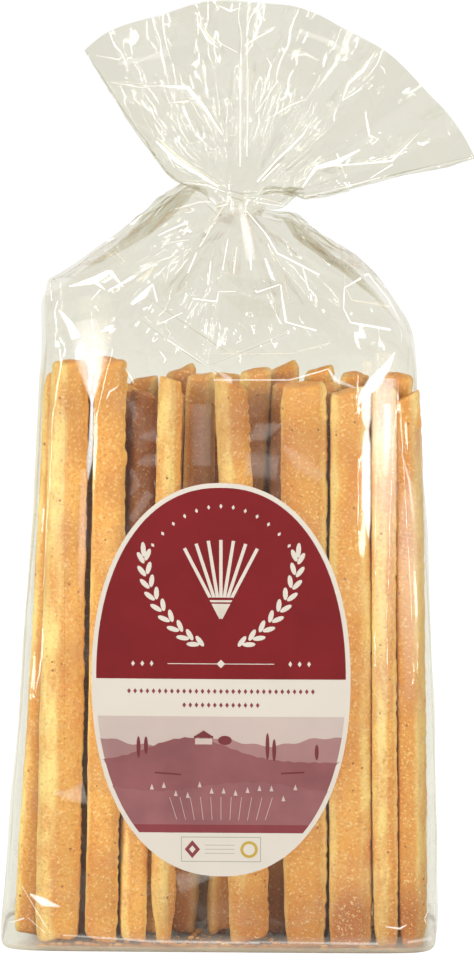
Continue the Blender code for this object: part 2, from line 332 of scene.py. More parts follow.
# The attribute read here darkens the crust towards the brown: the real browned feet, tips and patches, and
# the painted shade of the hidden rows and the leaning stick.
brown_and_shade_share = work_out(tree, "MULTIPLY", read(tree, "browning_and_shade"), brown_grain, clamped=True)
baked_and_shaded = blend(tree, brown_and_shade_share, warm, CRUST_BROWN_AND_SHADE)
floured = blend(tree, remap(tree, grain, 0.55, 0.69, 0.0, 0.58), baked_and_shaded, CRUST_FLOUR)
pitted = blend(tree, remap(tree, grain, 0.44, 0.30, 0.0, 0.52), floured, CRUST_BROWN_AND_SHADE)
specks = cells(tree, where, SPECK_SCALE)
speck_pick = add_node(tree, "SeparateColor", Color=specks.outputs["Color"]).outputs[0]
rare = work_out(tree, "GREATER_THAN", speck_pick, RARE_SPECK)
speck_share = work_out(tree, "MULTIPLY", remap(tree, specks.outputs["Distance"], 0.19, 0.12), rare)
speckled = blend(tree, speck_share, pitted, CRUST_SPECK)
pits = cells(tree, where, PIT_SCALE)
relief = work_out(tree, "MULTIPLY_ADD", pits.outputs["Distance"], 0.6, grain)
bump = add_node(tree, "Bump", Strength=0.8, Distance=0.4 * MM, Height=relief).outputs["Normal"]
dryness = remap(tree, grain, 0.3, 0.7, 0.5, 0.8)
surface = add_node(tree, "BsdfPrincipled", Base_Color=speckled, Normal=bump, Roughness=dryness)
surface.inputs["Specular IOR Level"].default_value = 0.35
tree.links.new(surface.outputs[0], output.inputs["Surface"])


def lumps(points, size, seed):
    """Smooth random heights from -1 to 1 at many points, with lumps about size wide."""
    place = np.asarray(points, float) / size
    corner = np.floor(place).astype(np.int64)
    share = place - corner
    share = share * share * (3.0 - 2.0 * share)
    total = np.zeros(len(place))
    for step in itertools.product((0, 1), repeat=3):
        at = corner + np.array(step)
        mixed = at[:, 0] * 73856093 ^ at[:, 1] * 19349663 ^ at[:, 2] * 83492791 ^ seed * 2654435761
        mixed = (mixed ^ (mixed >> 13)) * 1274126177
        height = ((mixed ^ (mixed >> 16)) & 0xFFFF) / 32767.5 - 1.0
        total += height * np.prod(np.where(step, share, 1.0 - share), axis=1)
    return total


def points_of(mesh):
    """The places and normals of a mesh's points, as two arrays."""
    points = np.empty(len(mesh.vertices) * 3, np.float32)
    normals = np.empty(len(mesh.vertices) * 3, np.float32)
    mesh.vertices.foreach_get("co", points)
    mesh.vertices.foreach_get("normal", normals)
    return points.reshape(-1, 3).astype(float), normals.reshape(-1, 3).astype(float)


def set_points(mesh, points):
    """Moves a mesh's points to new places."""
    mesh.vertices.foreach_set("co", points.astype(np.float32).ravel())
    mesh.update()


def keep_attribute(mesh, name, values):
    """Keeps one number at each point of a mesh, for its material to read."""
    layer = mesh.attributes.new(name, "FLOAT", "POINT")
    layer.data.foreach_set("value", np.asarray(values, np.float32))


def shape_stick(stick, seed, foot, head, width, thickness, turn, taper, brown_foot, tone_and_shade, outer_side,
                shaded_head, pale, flare):
    """Gives one stick its own width, bend, ragged edges, ends, tones and painted shade, and stands it in its
    place.
    """
    draw = random.Random(seed)
    bow_x = draw.uniform(-1.0, 1.0) * MM
    bow_y = draw.uniform(-0.5, 0.5) * MM
    twist = math.radians(draw.uniform(-7.0, 7.0))
    head_taper = draw.uniform(0.03, 0.16)
    foot_slant = draw.uniform(-1.6, 1.6) * MM
    head_slant = draw.uniform(-2.4, 2.4) * MM
    ragged_left = draw.uniform(0.1, 0.25) * MM
    ragged_right = draw.uniform(0.2, 0.6) * MM
    head_brown = draw.uniform(0.15, 0.45)
    patch = draw.uniform(0.1, 0.5)
    # u and v are the shares of the way across the stick and through it, and z is the way up it.
    points, normals = points_of(stick.data)
    u = points[:, 0] / (0.5 * STICK_WIDTH)
    v = points[:, 1] / (0.5 * STICK_THICKNESS)
    share = points[:, 2] / STICK_LENGTH
    length = (head - foot).length
    z = share * length
    from_end = np.minimum(z, length - z)
    at_foot = share < 0.5
    # Its width and thickness swell and narrow along its length, and its long edges are ragged.
    line = np.column_stack((z * 0.0, z * 0.0, z))
    grow = 1.0 + 0.05 * lumps(line, 0.045, seed) + 0.012 * lumps(line, 0.018, seed + 100)
    end_taper = np.where(at_foot, taper, head_taper)
    reach = np.where(end_taper > 0.3, 26.0 * MM, 12.0 * MM)
    narrowing = 1.0 - end_taper * (1.0 - ease(0.0, reach, from_end)) ** 1.5
    x = 0.5 * width * u * grow * narrowing * (1.0 + flare * (0.5 - share))
    y = 0.5 * thickness * v * (1.0 + 0.04 * lumps(line, 0.03, seed + 200)) * (0.5 + 0.5 * narrowing)
    ragged = np.where(u < 0.0, ragged_left, ragged_right) * np.abs(u) ** 5
    chips = 0.2 * lumps(line, 6.0 * MM, seed + 300) + 1.0 * lumps(line, 1.8 * MM, seed + 400)
    x += ragged * chips * (0.4 + 0.6 * (u > 0.0))
    # Its faces are lumpy and its ends slant.
    here = np.column_stack((x, y, z))
    swell = 0.13 * lumps(here, 8.0 * MM, seed) + 0.10 * lumps(here, 3.2 * MM, seed + 1)
    placed = here + normals * swell[:, None] * MM
    near = 1.0 - ease(0.0, 9.0 * MM, from_end)
    slant = np.where(at_foot, foot_slant, head_slant)
    placed[:, 2] += near * (slant * u + 0.8 * MM * lumps(here, 4.0 * MM, seed + 2))
    # It is bowed, twisted, turned and leant from its foot to its head.
    placed[:, 0] += bow_x * np.sin(math.pi * share)
    placed[:, 1] += bow_y * np.sin(math.pi * share)
    angle = turn + twist * (share - 0.5)
    lean = np.array((head - foot) / length)
    turned_x = placed[:, 0] * np.cos(angle) - placed[:, 1] * np.sin(angle)
    turned_y = placed[:, 0] * np.sin(angle) + placed[:, 1] * np.cos(angle)
    level = np.column_stack((turned_x, turned_y, np.zeros(len(z))))
    set_points(stick.data, np.array(foot) + level + np.outer(placed[:, 2], lean))
    # Its cut sides are pale, and its feet, tips and a few patches are browned.
    across = 0.5 * (1.0 + u) + 0.05 * lumps(here, 9.0 * MM, seed + 3)
    across += 0.03 * lumps(here, 3.5 * MM, seed + 5)
    corner = 1.0 - ease(pale[0] - 0.11, pale[0] + 0.11, across)
    corner = np.maximum(corner, ease(0.89 - pale[1], 1.11 - pale[1], across))
    end_brown = np.where(at_foot, brown_foot, head_brown)
    middle_of_face = 1.0 - 0.7 * np.abs(u) ** 3
    scorch = end_brown * np.exp(-(((from_end - 11.0 * MM) / (13.0 * MM)) ** 2)) * middle_of_face
    tip = 0.30 * np.exp(-from_end / (3.0 * MM))
    blotch = patch * np.maximum(0.0, lumps(here, 16.0 * MM, seed + 4)) * (1.0 - 0.6 * corner)
    # Painted shade: a hidden row is darkened where it faces into the bag, less at its tips and its feet, and
    # each front stick is darkened by its own share, partly its tone and partly painted shade.
    hidden = tone_and_shade > 0.5
    inner = ease(0.3, -0.2, normals[:, 1]) if hidden else 1.0
    if outer_side and hidden:
        inner *= ease(0.5, -0.3, outer_side * u)
    shaded = tone_and_shade * inner * (0.25 + 0.75 * ease(3.0 * MM, 20.0 * MM, length - z))
    if hidden:
        shaded = shaded * (0.45 + 0.55 * ease(15.0 * MM, 70.0 * MM, z))
    # Painted shade: the stick that leans back is darkened on its upper half, where its neighbours shade it.
    shaded = shaded + shaded_head * ease(0.5, 0.75, share)
    keep_attribute(stick.data, "cut_side", corner)
    keep_attribute(stick.data, "browning_and_shade", np.minimum(1.0, shaded + scorch + tip + blotch))


sticks = []
for row_name, row in (("front", FRONT_ROW), ("middle", MIDDLE_ROW), ("back", BACK_ROW)):
    for number, values in enumerate(row, start=1):
        foot_x, head_x, foot_y, head_y, foot_z, head_z, width, thickness, turn, taper, brown_foot = values
        stick = plain_stick.copy()
        stick.data = plain_stick.data.copy()
        stick.name = f"breadstick_{row_name}_{number}"
        bpy.context.scene.collection.objects.link(stick)
        if row_name == "front":
            bpy.context.view_layer.objects.active = stick
            finer = stick.modifiers.new("finer", "SUBSURF")
            finer.levels = 1
            finer.render_levels = 1
            bpy.ops.object.modifier_apply(modifier=finer.name)
        shape_stick(
            stick,
            seed=len(sticks) + 11,
            foot=Vector((foot_x, foot_y, foot_z)) * MM,
            head=Vector((head_x, head_y, head_z)) * MM,
            width=width * MM,
            thickness=thickness * MM,
            turn=math.radians(turn),
            taper=taper,
            brown_foot=brown_foot,
            tone_and_shade=FRONT_TONE_AND_SHADE[number - 1] if row_name == "front" else HIDDEN_ROW_SHADE[row_name],
            outer_side=(number == len(row)) - (number == 1),
            shaded_head=0.85 if row_name == "front" and number == LEANING_BACK else 0.0,
            pale=PALE_SIDES[number - 1] if row_name == "front" else (0.2, 0.2),
            flare=FRONT_FLARE[number - 1] if row_name == "front" else 0.0,
        )
        stick.data.materials.append(crust)
        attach(stick, "root")
        sticks.append(stick)
bpy.data.objects.remove(plain_stick)


# The crumbs: chips and dust of crust that have dropped to the bottom of the bag, between the sticks'
# feet. Each is a small lumpy ball, squashed in its own way and set down on the film.
CRUMB_COUNT = 900
SMALLEST_CRUMB = 0.35 * MM
CRUMB_RANGE = 1.0 * MM
CRUMB_FLOOR = 0.9 * MM
CRUMB_LEFT = -70.0 * MM
CRUMB_RIGHT = 66.0 * MM
# From where to where the crumbs lie, front to back: every third one is along the front, where it shows.
FRONT_CRUMBS = (-24.0 * MM, -20.0 * MM)
OTHER_CRUMBS = (-22.0 * MM, 22.0 * MM)
crumb_draw = random.Random(77)
bpy.ops.object.select_all(action="DESELECT")
bpy.ops.mesh.primitive_ico_sphere_add(subdivisions=2, radius=1.0)
crumb = bpy.context.object
ball, _ = points_of(crumb.data)
ball_faces = np.array([face.vertices[:] for face in crumb.data.polygons])
bpy.data.objects.remove(crumb)
crumb_points = []
crumb_faces = []
crumb_sides = []
for number in range(CRUMB_COUNT):
    size = SMALLEST_CRUMB + CRUMB_RANGE * crumb_draw.random() ** 3
    front = number % 3 == 0
    place = np.array((
        crumb_draw.uniform(CRUMB_LEFT, CRUMB_RIGHT),
        crumb_draw.uniform(*(FRONT_CRUMBS if front else OTHER_CRUMBS)),
        CRUMB_FLOOR + 0.95 * size,
    ))
    squash = (crumb_draw.uniform(0.7, 1.4), crumb_draw.uniform(0.7, 1.2), crumb_draw.uniform(0.5, 0.9))
    rough = 1.0 + 0.28 * lumps(ball, 0.9, number)
    crumb_faces.append(ball_faces + len(crumb_points) * len(ball))
    crumb_points.append(place + ball * np.array(squash) * size * rough[:, None])
    crumb_sides.append(np.full(len(ball), crumb_draw.random()))
crumb_mesh = bpy.data.meshes.new("crumbs")
crumb_mesh.from_pydata(np.concatenate(crumb_points).tolist(), [], np.concatenate(crumb_faces).tolist())
keep_attribute(crumb_mesh, "cut_side", 0.4 * np.concatenate(crumb_sides))
keep_attribute(crumb_mesh, "browning_and_shade", 0.9 - 0.7 * np.concatenate(crumb_sides))
crumb_mesh.materials.append(crust)
crumbs = bpy.data.objects.new("crumbs", crumb_mesh)
bpy.context.scene.collection.objects.link(crumbs)
crumb_mesh.shade_smooth()
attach(crumbs, "root")


# The bag: one sheet of clear wrapping film, drawn tight round the sticks, crumpled over their heads,
# gathered at the neck and spread in a fan above it. It is a copy of the solid bag's skin, with the
# fan's mouth open, subdivided and creased into flat facets with sharp folds between them.
BASE_DEPTH = 54.0 * MM
TOP_DEPTH = 49.0 * MM
STICK_TOP = 223.0 * MM
SHOULDER_START = 229.0 * MM
TIE_CENTRE = Vector((6.2, 0.0, 282.0)) * MM
LABEL_CENTRE_Z = 106.8 * MM
LABEL_HALF_WIDTH = 48.6 * MM
LABEL_HALF_HEIGHT = 75.8 * MM
FAN_MOUTH = 70.0 * MM
MERGE = 0.01 * MM
PANEL_BULGE = 1.2 * MM
FILM_TINT = (0.892, 0.883, 0.818, 1.0)
FILM_TINT_ABOVE = (0.864, 0.855, 0.793, 1.0)
FILM_TINT_EDGE = (0.965, 0.960, 0.935, 1.0)
FILM_HAZE = (0.64, 0.57, 0.49, 1.0)
# The brown of the bag's base: painted shadow of the sticks on its bottom and just above its hem, and the
# crumbs that lie in it.
BASE_SHADOW_AND_CRUMBS = (0.34, 0.20, 0.11, 1.0)
HEM_HAZE = (0.58, 0.52, 0.37, 1.0)
FILM_GLOSS = (1.0, 0.995, 0.97, 1.0)
FILM_ROUGHNESS = 0.085
FILM_IOR = 1.37
MOST_SHINE = 0.26
LARGE_FACET = 17.0 * MM
SHOULDER_FACET = 8.0 * MM
BODY_FACET = 7.0 * MM
FOLD_SCALE = 95.0
CROSS_FOLD_SCALE = 120.0
MILKY_SCALE = 58.0
# The notch at the neck's right: its angle from straight up at NOTCH_RADIUS mm from the tie, in degrees,
# how much that angle grows with each mm, and half the width of the sliver that is closed.
NOTCH_ANGLE = 61.5
NOTCH_LEAN = 1.33
NOTCH_RADIUS = 15.8
NOTCH_HALF_WIDTH = 3.0
NECK_DROP = 3.0 * MM
RIGHT_CORNER_DROP = 3.2 * MM
LEFT_CORNER = np.array((-64.0, 252.0)) * MM
LEFT_CORNER_REACH = 26.0 * MM
LEFT_CORNER_DROP = 2.6 * MM
LEFT_CORNER_OUT = 1.8 * MM
# The folds of the front, in mm: from x, z to x, z, half width at each end, and how far it stands out
# at each end.
FRONT_FOLDS = (
    (-48.0, 252.0, -48.2, 211.0, 12.0, 3.0, -3.4, -0.9),
    (-48.2, 214.0, -49.6, 150.0, 3.0, 2.4, -0.9, -0.5),
    (58.0, 246.0, 57.5, 205.0, 9.0, 7.0, 2.3, 1.9),
    (57.5, 207.0, 56.0, 70.0, 7.0, 5.0, 1.9, 0.7),
    (-70.0, 30.0, -61.0, 13.0, 3.2, 3.2, -0.9, -0.3),
    (-31.0, 246.5, 3.0, 222.5, 1.4, 1.6, 1.5, 1.2),
    (-4.0, 228.0, 26.0, 241.0, 1.2, 1.6, 0.8, 1.2),
    (3.0, 222.4, 48.0, 223.5, 1.8, 1.6, 0.9, 0.7),
    (-14.5, 330.5, 0.0, 307.0, 2.4, 1.4, 1.2, 0.6),
    (-24.5, 306.0, -15.5, 290.5, 2.0, 1.2, 0.9, 0.5),
    (-11.5, 295.0, -2.0, 288.0, 1.6, 1.2, 0.9, 0.5),
    (23.5, 301.0, 14.5, 292.0, 1.6, 1.2, 1.0, 0.6),
    (33.0, 298.0, 63.0, 299.5, 3.0, 2.4, 1.3, 0.9),
    (56.0, 339.0, 45.0, 322.0, 2.2, 1.6, 1.0, 0.7),
    (42.0, 296.0, 47.0, 288.5, 2.6, 1.6, 1.2, 0.5),
)


def between(start, full, fading, end, value):
    """1 from full to fading, falling softly to 0 at start and at end."""
    return ease(start, full, value) * ease(end, fading, value)


def in_label(x, z):
    """1 under the stiff label, falling to 0 just outside it."""
    return 1.0 - ease(1.02, 1.2, np.hypot(x / LABEL_HALF_WIDTH, (z - LABEL_CENTRE_Z) / LABEL_HALF_HEIGHT))


def crumple(places, cell, seed):
    """Heights of flat facets about cell wide with sharp creases between them, with slopes up to about 1."""
    draw = np.random.default_rng(seed)
    low = places.min(axis=0) - cell
    high = places.max(axis=0) + cell
    count = int(np.prod((high - low) / cell))
    heights = np.zeros(len(places))
    for sign in (1.0, -1.0):
        seeds = draw.uniform(low, high, (count, 3))
        tree_of_seeds = kdtree.KDTree(count)
        for number, seed_place in enumerate(seeds):
            tree_of_seeds.insert(seed_place, number)
        tree_of_seeds.balance()
        distances = np.array([tree_of_seeds.find(place)[2] for place in places])
        heights += sign * distances**2 / cell
    return heights


bpy.ops.object.select_all(action="DESELECT")
film = bpy.data.objects.new("film_bag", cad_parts["bag"].data.copy())
bpy.context.scene.collection.objects.link(film)
bpy.context.view_layer.objects.active = film
film.select_set(True)
film.data.materials.clear()
bpy.ops.object.mode_set(mode="EDIT")
bpy.ops.mesh.select_all(action="SELECT")
bpy.ops.mesh.remove_doubles(threshold=MERGE)
bpy.ops.mesh.tris_convert_to_quads(face_threshold=math.radians(60.0), shape_threshold=math.radians(60.0))
edited = bmesh.from_edit_mesh(film.data)
deselect(edited)
for face in edited.faces:
    away = face.calc_center_median() - TIE_CENTRE
    away.y = 0.0
    if away.length > FAN_MOUTH and away.z > 0.0 and face.normal.dot(away.normalized()) > 0.8:
        face.select_set(True)
bmesh.update_edit_mesh(film.data)
bpy.ops.mesh.delete(type="FACE")
bpy.ops.object.mode_set(mode="OBJECT")
smoothing = film.modifiers.new("smoothing", "SUBSURF")
smoothing.levels = 2
smoothing.render_levels = 2
smoothing.boundary_smooth = "PRESERVE_CORNERS"
bpy.ops.object.modifier_apply(modifier=smoothing.name)


def folded(points, normals, folds):
    """How far the straight folds lift the film at each point of its front: flat walls, and a sharp edge."""
    lift = np.zeros(len(points))
    for x_high, z_high, x_low, z_low, wide_high, wide_low, out_high, out_low in folds:
        start = np.array((x_high, z_high)) * MM
        run = np.array((x_low, z_low)) * MM - start
        length = np.hypot(*run)
        place = points[:, (0, 2)] - start
        along = place @ run / length**2
        aside = np.abs(place[:, 0] * run[1] - place[:, 1] * run[0]) / length
        share = np.clip(along, 0.0, 1.0)
        half_width = (wide_high + (wide_low - wide_high) * share) * MM
        out = (out_high + (out_low - out_high) * share) * MM
        fade = between(-0.08, 0.12, 0.88, 1.08, along)
        lift += out * fade * np.clip(1.0 - aside / half_width, 0.0, 1.0)
    return lift * ease(-0.1, -0.5, normals[:, 1])


points, normals = points_of(film.data)
up = points[:, 2] / MM
facing = np.abs(normals[:, 1])
half_depth = 0.5 * (BASE_DEPTH + (TOP_DEPTH - BASE_DEPTH) * points[:, 2] / STICK_TOP)
upright = 1.0 - ease(STICK_TOP - 20.0 * MM, STICK_TOP, points[:, 2])
tight = 0.6 * upright * ease(0.6, 0.9, facing) * ease(3.0, 12.0, up)
crest = half_depth + PANEL_BULGE * 0.5
points[:, 1] += np.sign(points[:, 1]) * np.maximum(0.0, crest - np.abs(points[:, 1])) * tight

# turn is the angle from straight up round the tie, and radius is the way out from it.
from_tie = points - np.array(TIE_CENTRE)
radius = np.hypot(from_tie[:, 0], from_tie[:, 2])
turn = np.arctan2(from_tie[:, 0], from_tie[:, 2])
upper = ease(SHOULDER_START - 12.0 * MM, SHOULDER_START + 6.0 * MM, points[:, 2])
spread = np.column_stack((turn * 62.0 * MM, radius * 0.62, points[:, 1] + normals[:, 1] * 25.0 * MM))
tall = points * np.array((1.0, 1.0, 0.42))
near_neck = ease(5.0 * MM, 26.0 * MM, radius)
broadside = ease(0.12, 0.6, facing)
shoulder_folds = 0.13 * crumple(spread, LARGE_FACET, 5) + 0.06 * crumple(spread, SHOULDER_FACET, 6)
body_folds = 0.05 * crumple(tall, LARGE_FACET, 7) + 0.02 * crumple(tall, BODY_FACET, 8)
free = 1.0 - in_label(points[:, 0], points[:, 2]) * (normals[:, 1] < -0.3)
body_folds *= free * ease(0.0, 6.0 * MM, points[:, 2])
pleat_turn = np.column_stack((turn * 0.1, radius * 0.0, normals[:, 1] * 0.03))
pleats = (1.0 - 2.0 * np.abs(lumps(pleat_turn, 0.0042, 9))) * (1.0 - ease(30.0 * MM, 75.0 * MM, radius))
pleats *= near_neck * upper * broadside * 0.45 * MM
lift = shoulder_folds * near_neck * upper * (0.15 + 0.85 * broadside) + body_folds * (1.0 - upper) + pleats
lift += folded(points, normals, FRONT_FOLDS) * free
points += normals * lift[:, None]

# The shoulder drops away at the right of the neck, the sliver of a notch there is pinched shut, and
# both shoulders have their own corners.
turned = np.degrees(turn)
out_mm = radius / MM
right_neck = between(58.0, 72.0, 90.0, 103.0, turned) * between(3.0, 9.0, 15.0, 27.0, out_mm)
points[:, 2] -= NECK_DROP * right_neck
from_notch = turned - NOTCH_ANGLE - NOTCH_LEAN * (np.clip(out_mm, 8.0, 25.0) - NOTCH_RADIUS)
pinch = np.clip(from_notch / NOTCH_HALF_WIDTH, -1.0, 1.0) * (1.0 - ease(8.0, 16.0, np.abs(from_notch)))
pinch *= between(8.0, 12.0, 21.0, 25.0, out_mm)
points[:, 2] += pinch * (2.0 + 0.2 * (np.clip(out_mm, 10.0, 22.0) - NOTCH_RADIUS)) * MM
right_corner = between(78.0, 84.0, 104.0, 128.0, turned) * between(17.0, 25.0, 36.0, 50.0, out_mm)
points[:, 2] -= RIGHT_CORNER_DROP * right_corner
from_corner = np.hypot(points[:, 0] - LEFT_CORNER[0], points[:, 2] - LEFT_CORNER[1])
left_corner = (1.0 - ease(0.0, LEFT_CORNER_REACH, from_corner)) * (points[:, 0] < -40.0 * MM)
points[:, 0] -= LEFT_CORNER_OUT * left_corner
points[:, 2] -= LEFT_CORNER_DROP * left_corner
set_points(film.data, points)

# The base is painted brown, for the shadow of the sticks on it and the crumbs that lie in it, less at its
# corners; just above the hem runs a band of painted shadow, and the hem is doubled film.
up = points[:, 2] / MM
inward = between(-80.0, -64.0, 74.0, 81.0, points[:, 0] / MM)
under = ease(-0.45, -0.85, normals[:, 2]) * ease(4.0, 3.0, up)
hem = ease(2.5, 1.9, up) * (1.0 - under)
shaded = ease(5.8, 4.0, up) * (1.0 - hem) * (1.0 - under)
keep_attribute(film.data, "upper", upper)
keep_attribute(film.data, "edgeways", upper * (1.0 - ease(0.15, 0.55, facing)))
keep_attribute(film.data, "base_shadow_and_crumbs", (under + 0.72 * shaded) * (0.12 + 0.88 * inward))
keep_attribute(film.data, "hem", hem)
film.data.shade_smooth()

clear_film, tree, output = new_material("clear_wrapping_film")
where = add_node(tree, "TexCoord").outputs["Object"]
upper_share = read(tree, "upper")
edgeways = read(tree, "edgeways")
base_shadow_share = read(tree, "base_shadow_and_crumbs")
hem_share = read(tree, "hem")
wobble = add_node(tree, "TexNoise", Vector=where, Scale=60.0, Detail=1.0).outputs["Color"]
bent = add_node(tree, "VectorMath", {"operation": "MULTIPLY_ADD"}, _0=wobble, _1=(0.012, 0.012, 0.012),
                _2=where).outputs[0]
moved = add_node(tree, "VectorMath", {"operation": "ADD"}, _0=bent, _1=(0.31, 0.17, 0.23)).outputs[0]
wide_cells = cells(tree, bent, FOLD_SCALE)
wide_rise = work_out(tree, "POWER", wide_cells.outputs["Distance"], 2.0)
other_rise = work_out(tree, "POWER", cells(tree, moved, CROSS_FOLD_SCALE).outputs["Distance"], 2.0)
folds = work_out(tree, "SUBTRACT", wide_rise, other_rise)
fold_depth = remap(tree, upper_share, 0.0, 1.0, 0.08, 0.30)
bump = add_node(tree, "Bump", Distance=1.2 * MM, Height=folds, Strength=fold_depth).outputs[0]
tint = blend(tree, edgeways, blend(tree, upper_share, FILM_TINT, FILM_TINT_ABOVE), FILM_TINT_EDGE)
sheer = add_node(tree, "BsdfTransparent", Color=tint)
mirror = add_node(tree, "BsdfAnisotropic", Color=FILM_GLOSS, Roughness=FILM_ROUGHNESS, Normal=bump)
# Milky facets: a faint whitish haze on some facets, partly the film's own haze and partly painted
# reflection.
large_pick = add_node(tree, "SeparateColor", Color=cells(tree, bent, MILKY_SCALE).outputs["Color"])
small_pick = add_node(tree, "SeparateColor", Color=wide_cells.outputs["Color"])
milky_sheen = work_out(tree, "MULTIPLY", large_pick.outputs[0], small_pick.outputs[1])
milky_sheen_share = remap(tree, milky_sheen, 0.12, 0.55, 0.0, 0.04)
haze_and_shade_share = work_out(tree, "MULTIPLY_ADD", base_shadow_share, 0.93, milky_sheen_share, clamped=True)
haze_and_shade_share = work_out(tree, "MULTIPLY_ADD", hem_share, 0.60, haze_and_shade_share, clamped=True)
haze_and_shade_colour = blend(tree, hem_share, blend(tree, base_shadow_share, FILM_HAZE, BASE_SHADOW_AND_CRUMBS), HEM_HAZE)
haze_and_shade_layer = add_node(tree, "BsdfDiffuse", Color=haze_and_shade_colour)
veil = add_node(tree, "MixShader", _0=haze_and_shade_share, _1=sheer.outputs[0], _2=haze_and_shade_layer.outputs[0])
fresnel = add_node(tree, "Fresnel", IOR=FILM_IOR, Normal=bump).outputs[0]
shine = work_out(tree, "MINIMUM", fresnel, remap(tree, edgeways, 0.0, 1.0, MOST_SHINE, 0.05))
shine = work_out(tree, "MULTIPLY", shine, remap(tree, base_shadow_share, 0.0, 1.0, 1.0, 0.12))
surface = add_node(tree, "MixShader", _0=shine, _1=veil.outputs[0], _2=mirror.outputs[0])
tree.links.new(surface.outputs[0], output.inputs["Surface"])
film.data.materials.append(clear_film)
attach(film, "root")
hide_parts("bag")
film.visible_shadow = False


# The film's painted light: painted highlights, white and glowing a little, on flat facets and along narrow
# folds, and painted shade along a few folds. Each is a thin tapering strip of the film itself, lying on its
# outside.
CREASE_STEP = 1.6 * MM
CREASE_JUMP = 5.0 * CREASE_STEP
CREASE_RAISED = 0.18 * MM
CREASE_ACROSS = (-1.0, -0.6, 0.0, 0.6, 1.0)
CREASE_FADE = (0.0, 0.8, 1.0, 0.8, 0.0)
GLINT_GLOW = 0.25
FRONT_PLANE = -26.4 * MM
GLINT_WHITE = (0.97, 0.93, 0.87, 1.0)
CREASE_SHADE = (0.36, 0.27, 0.15, 1.0)
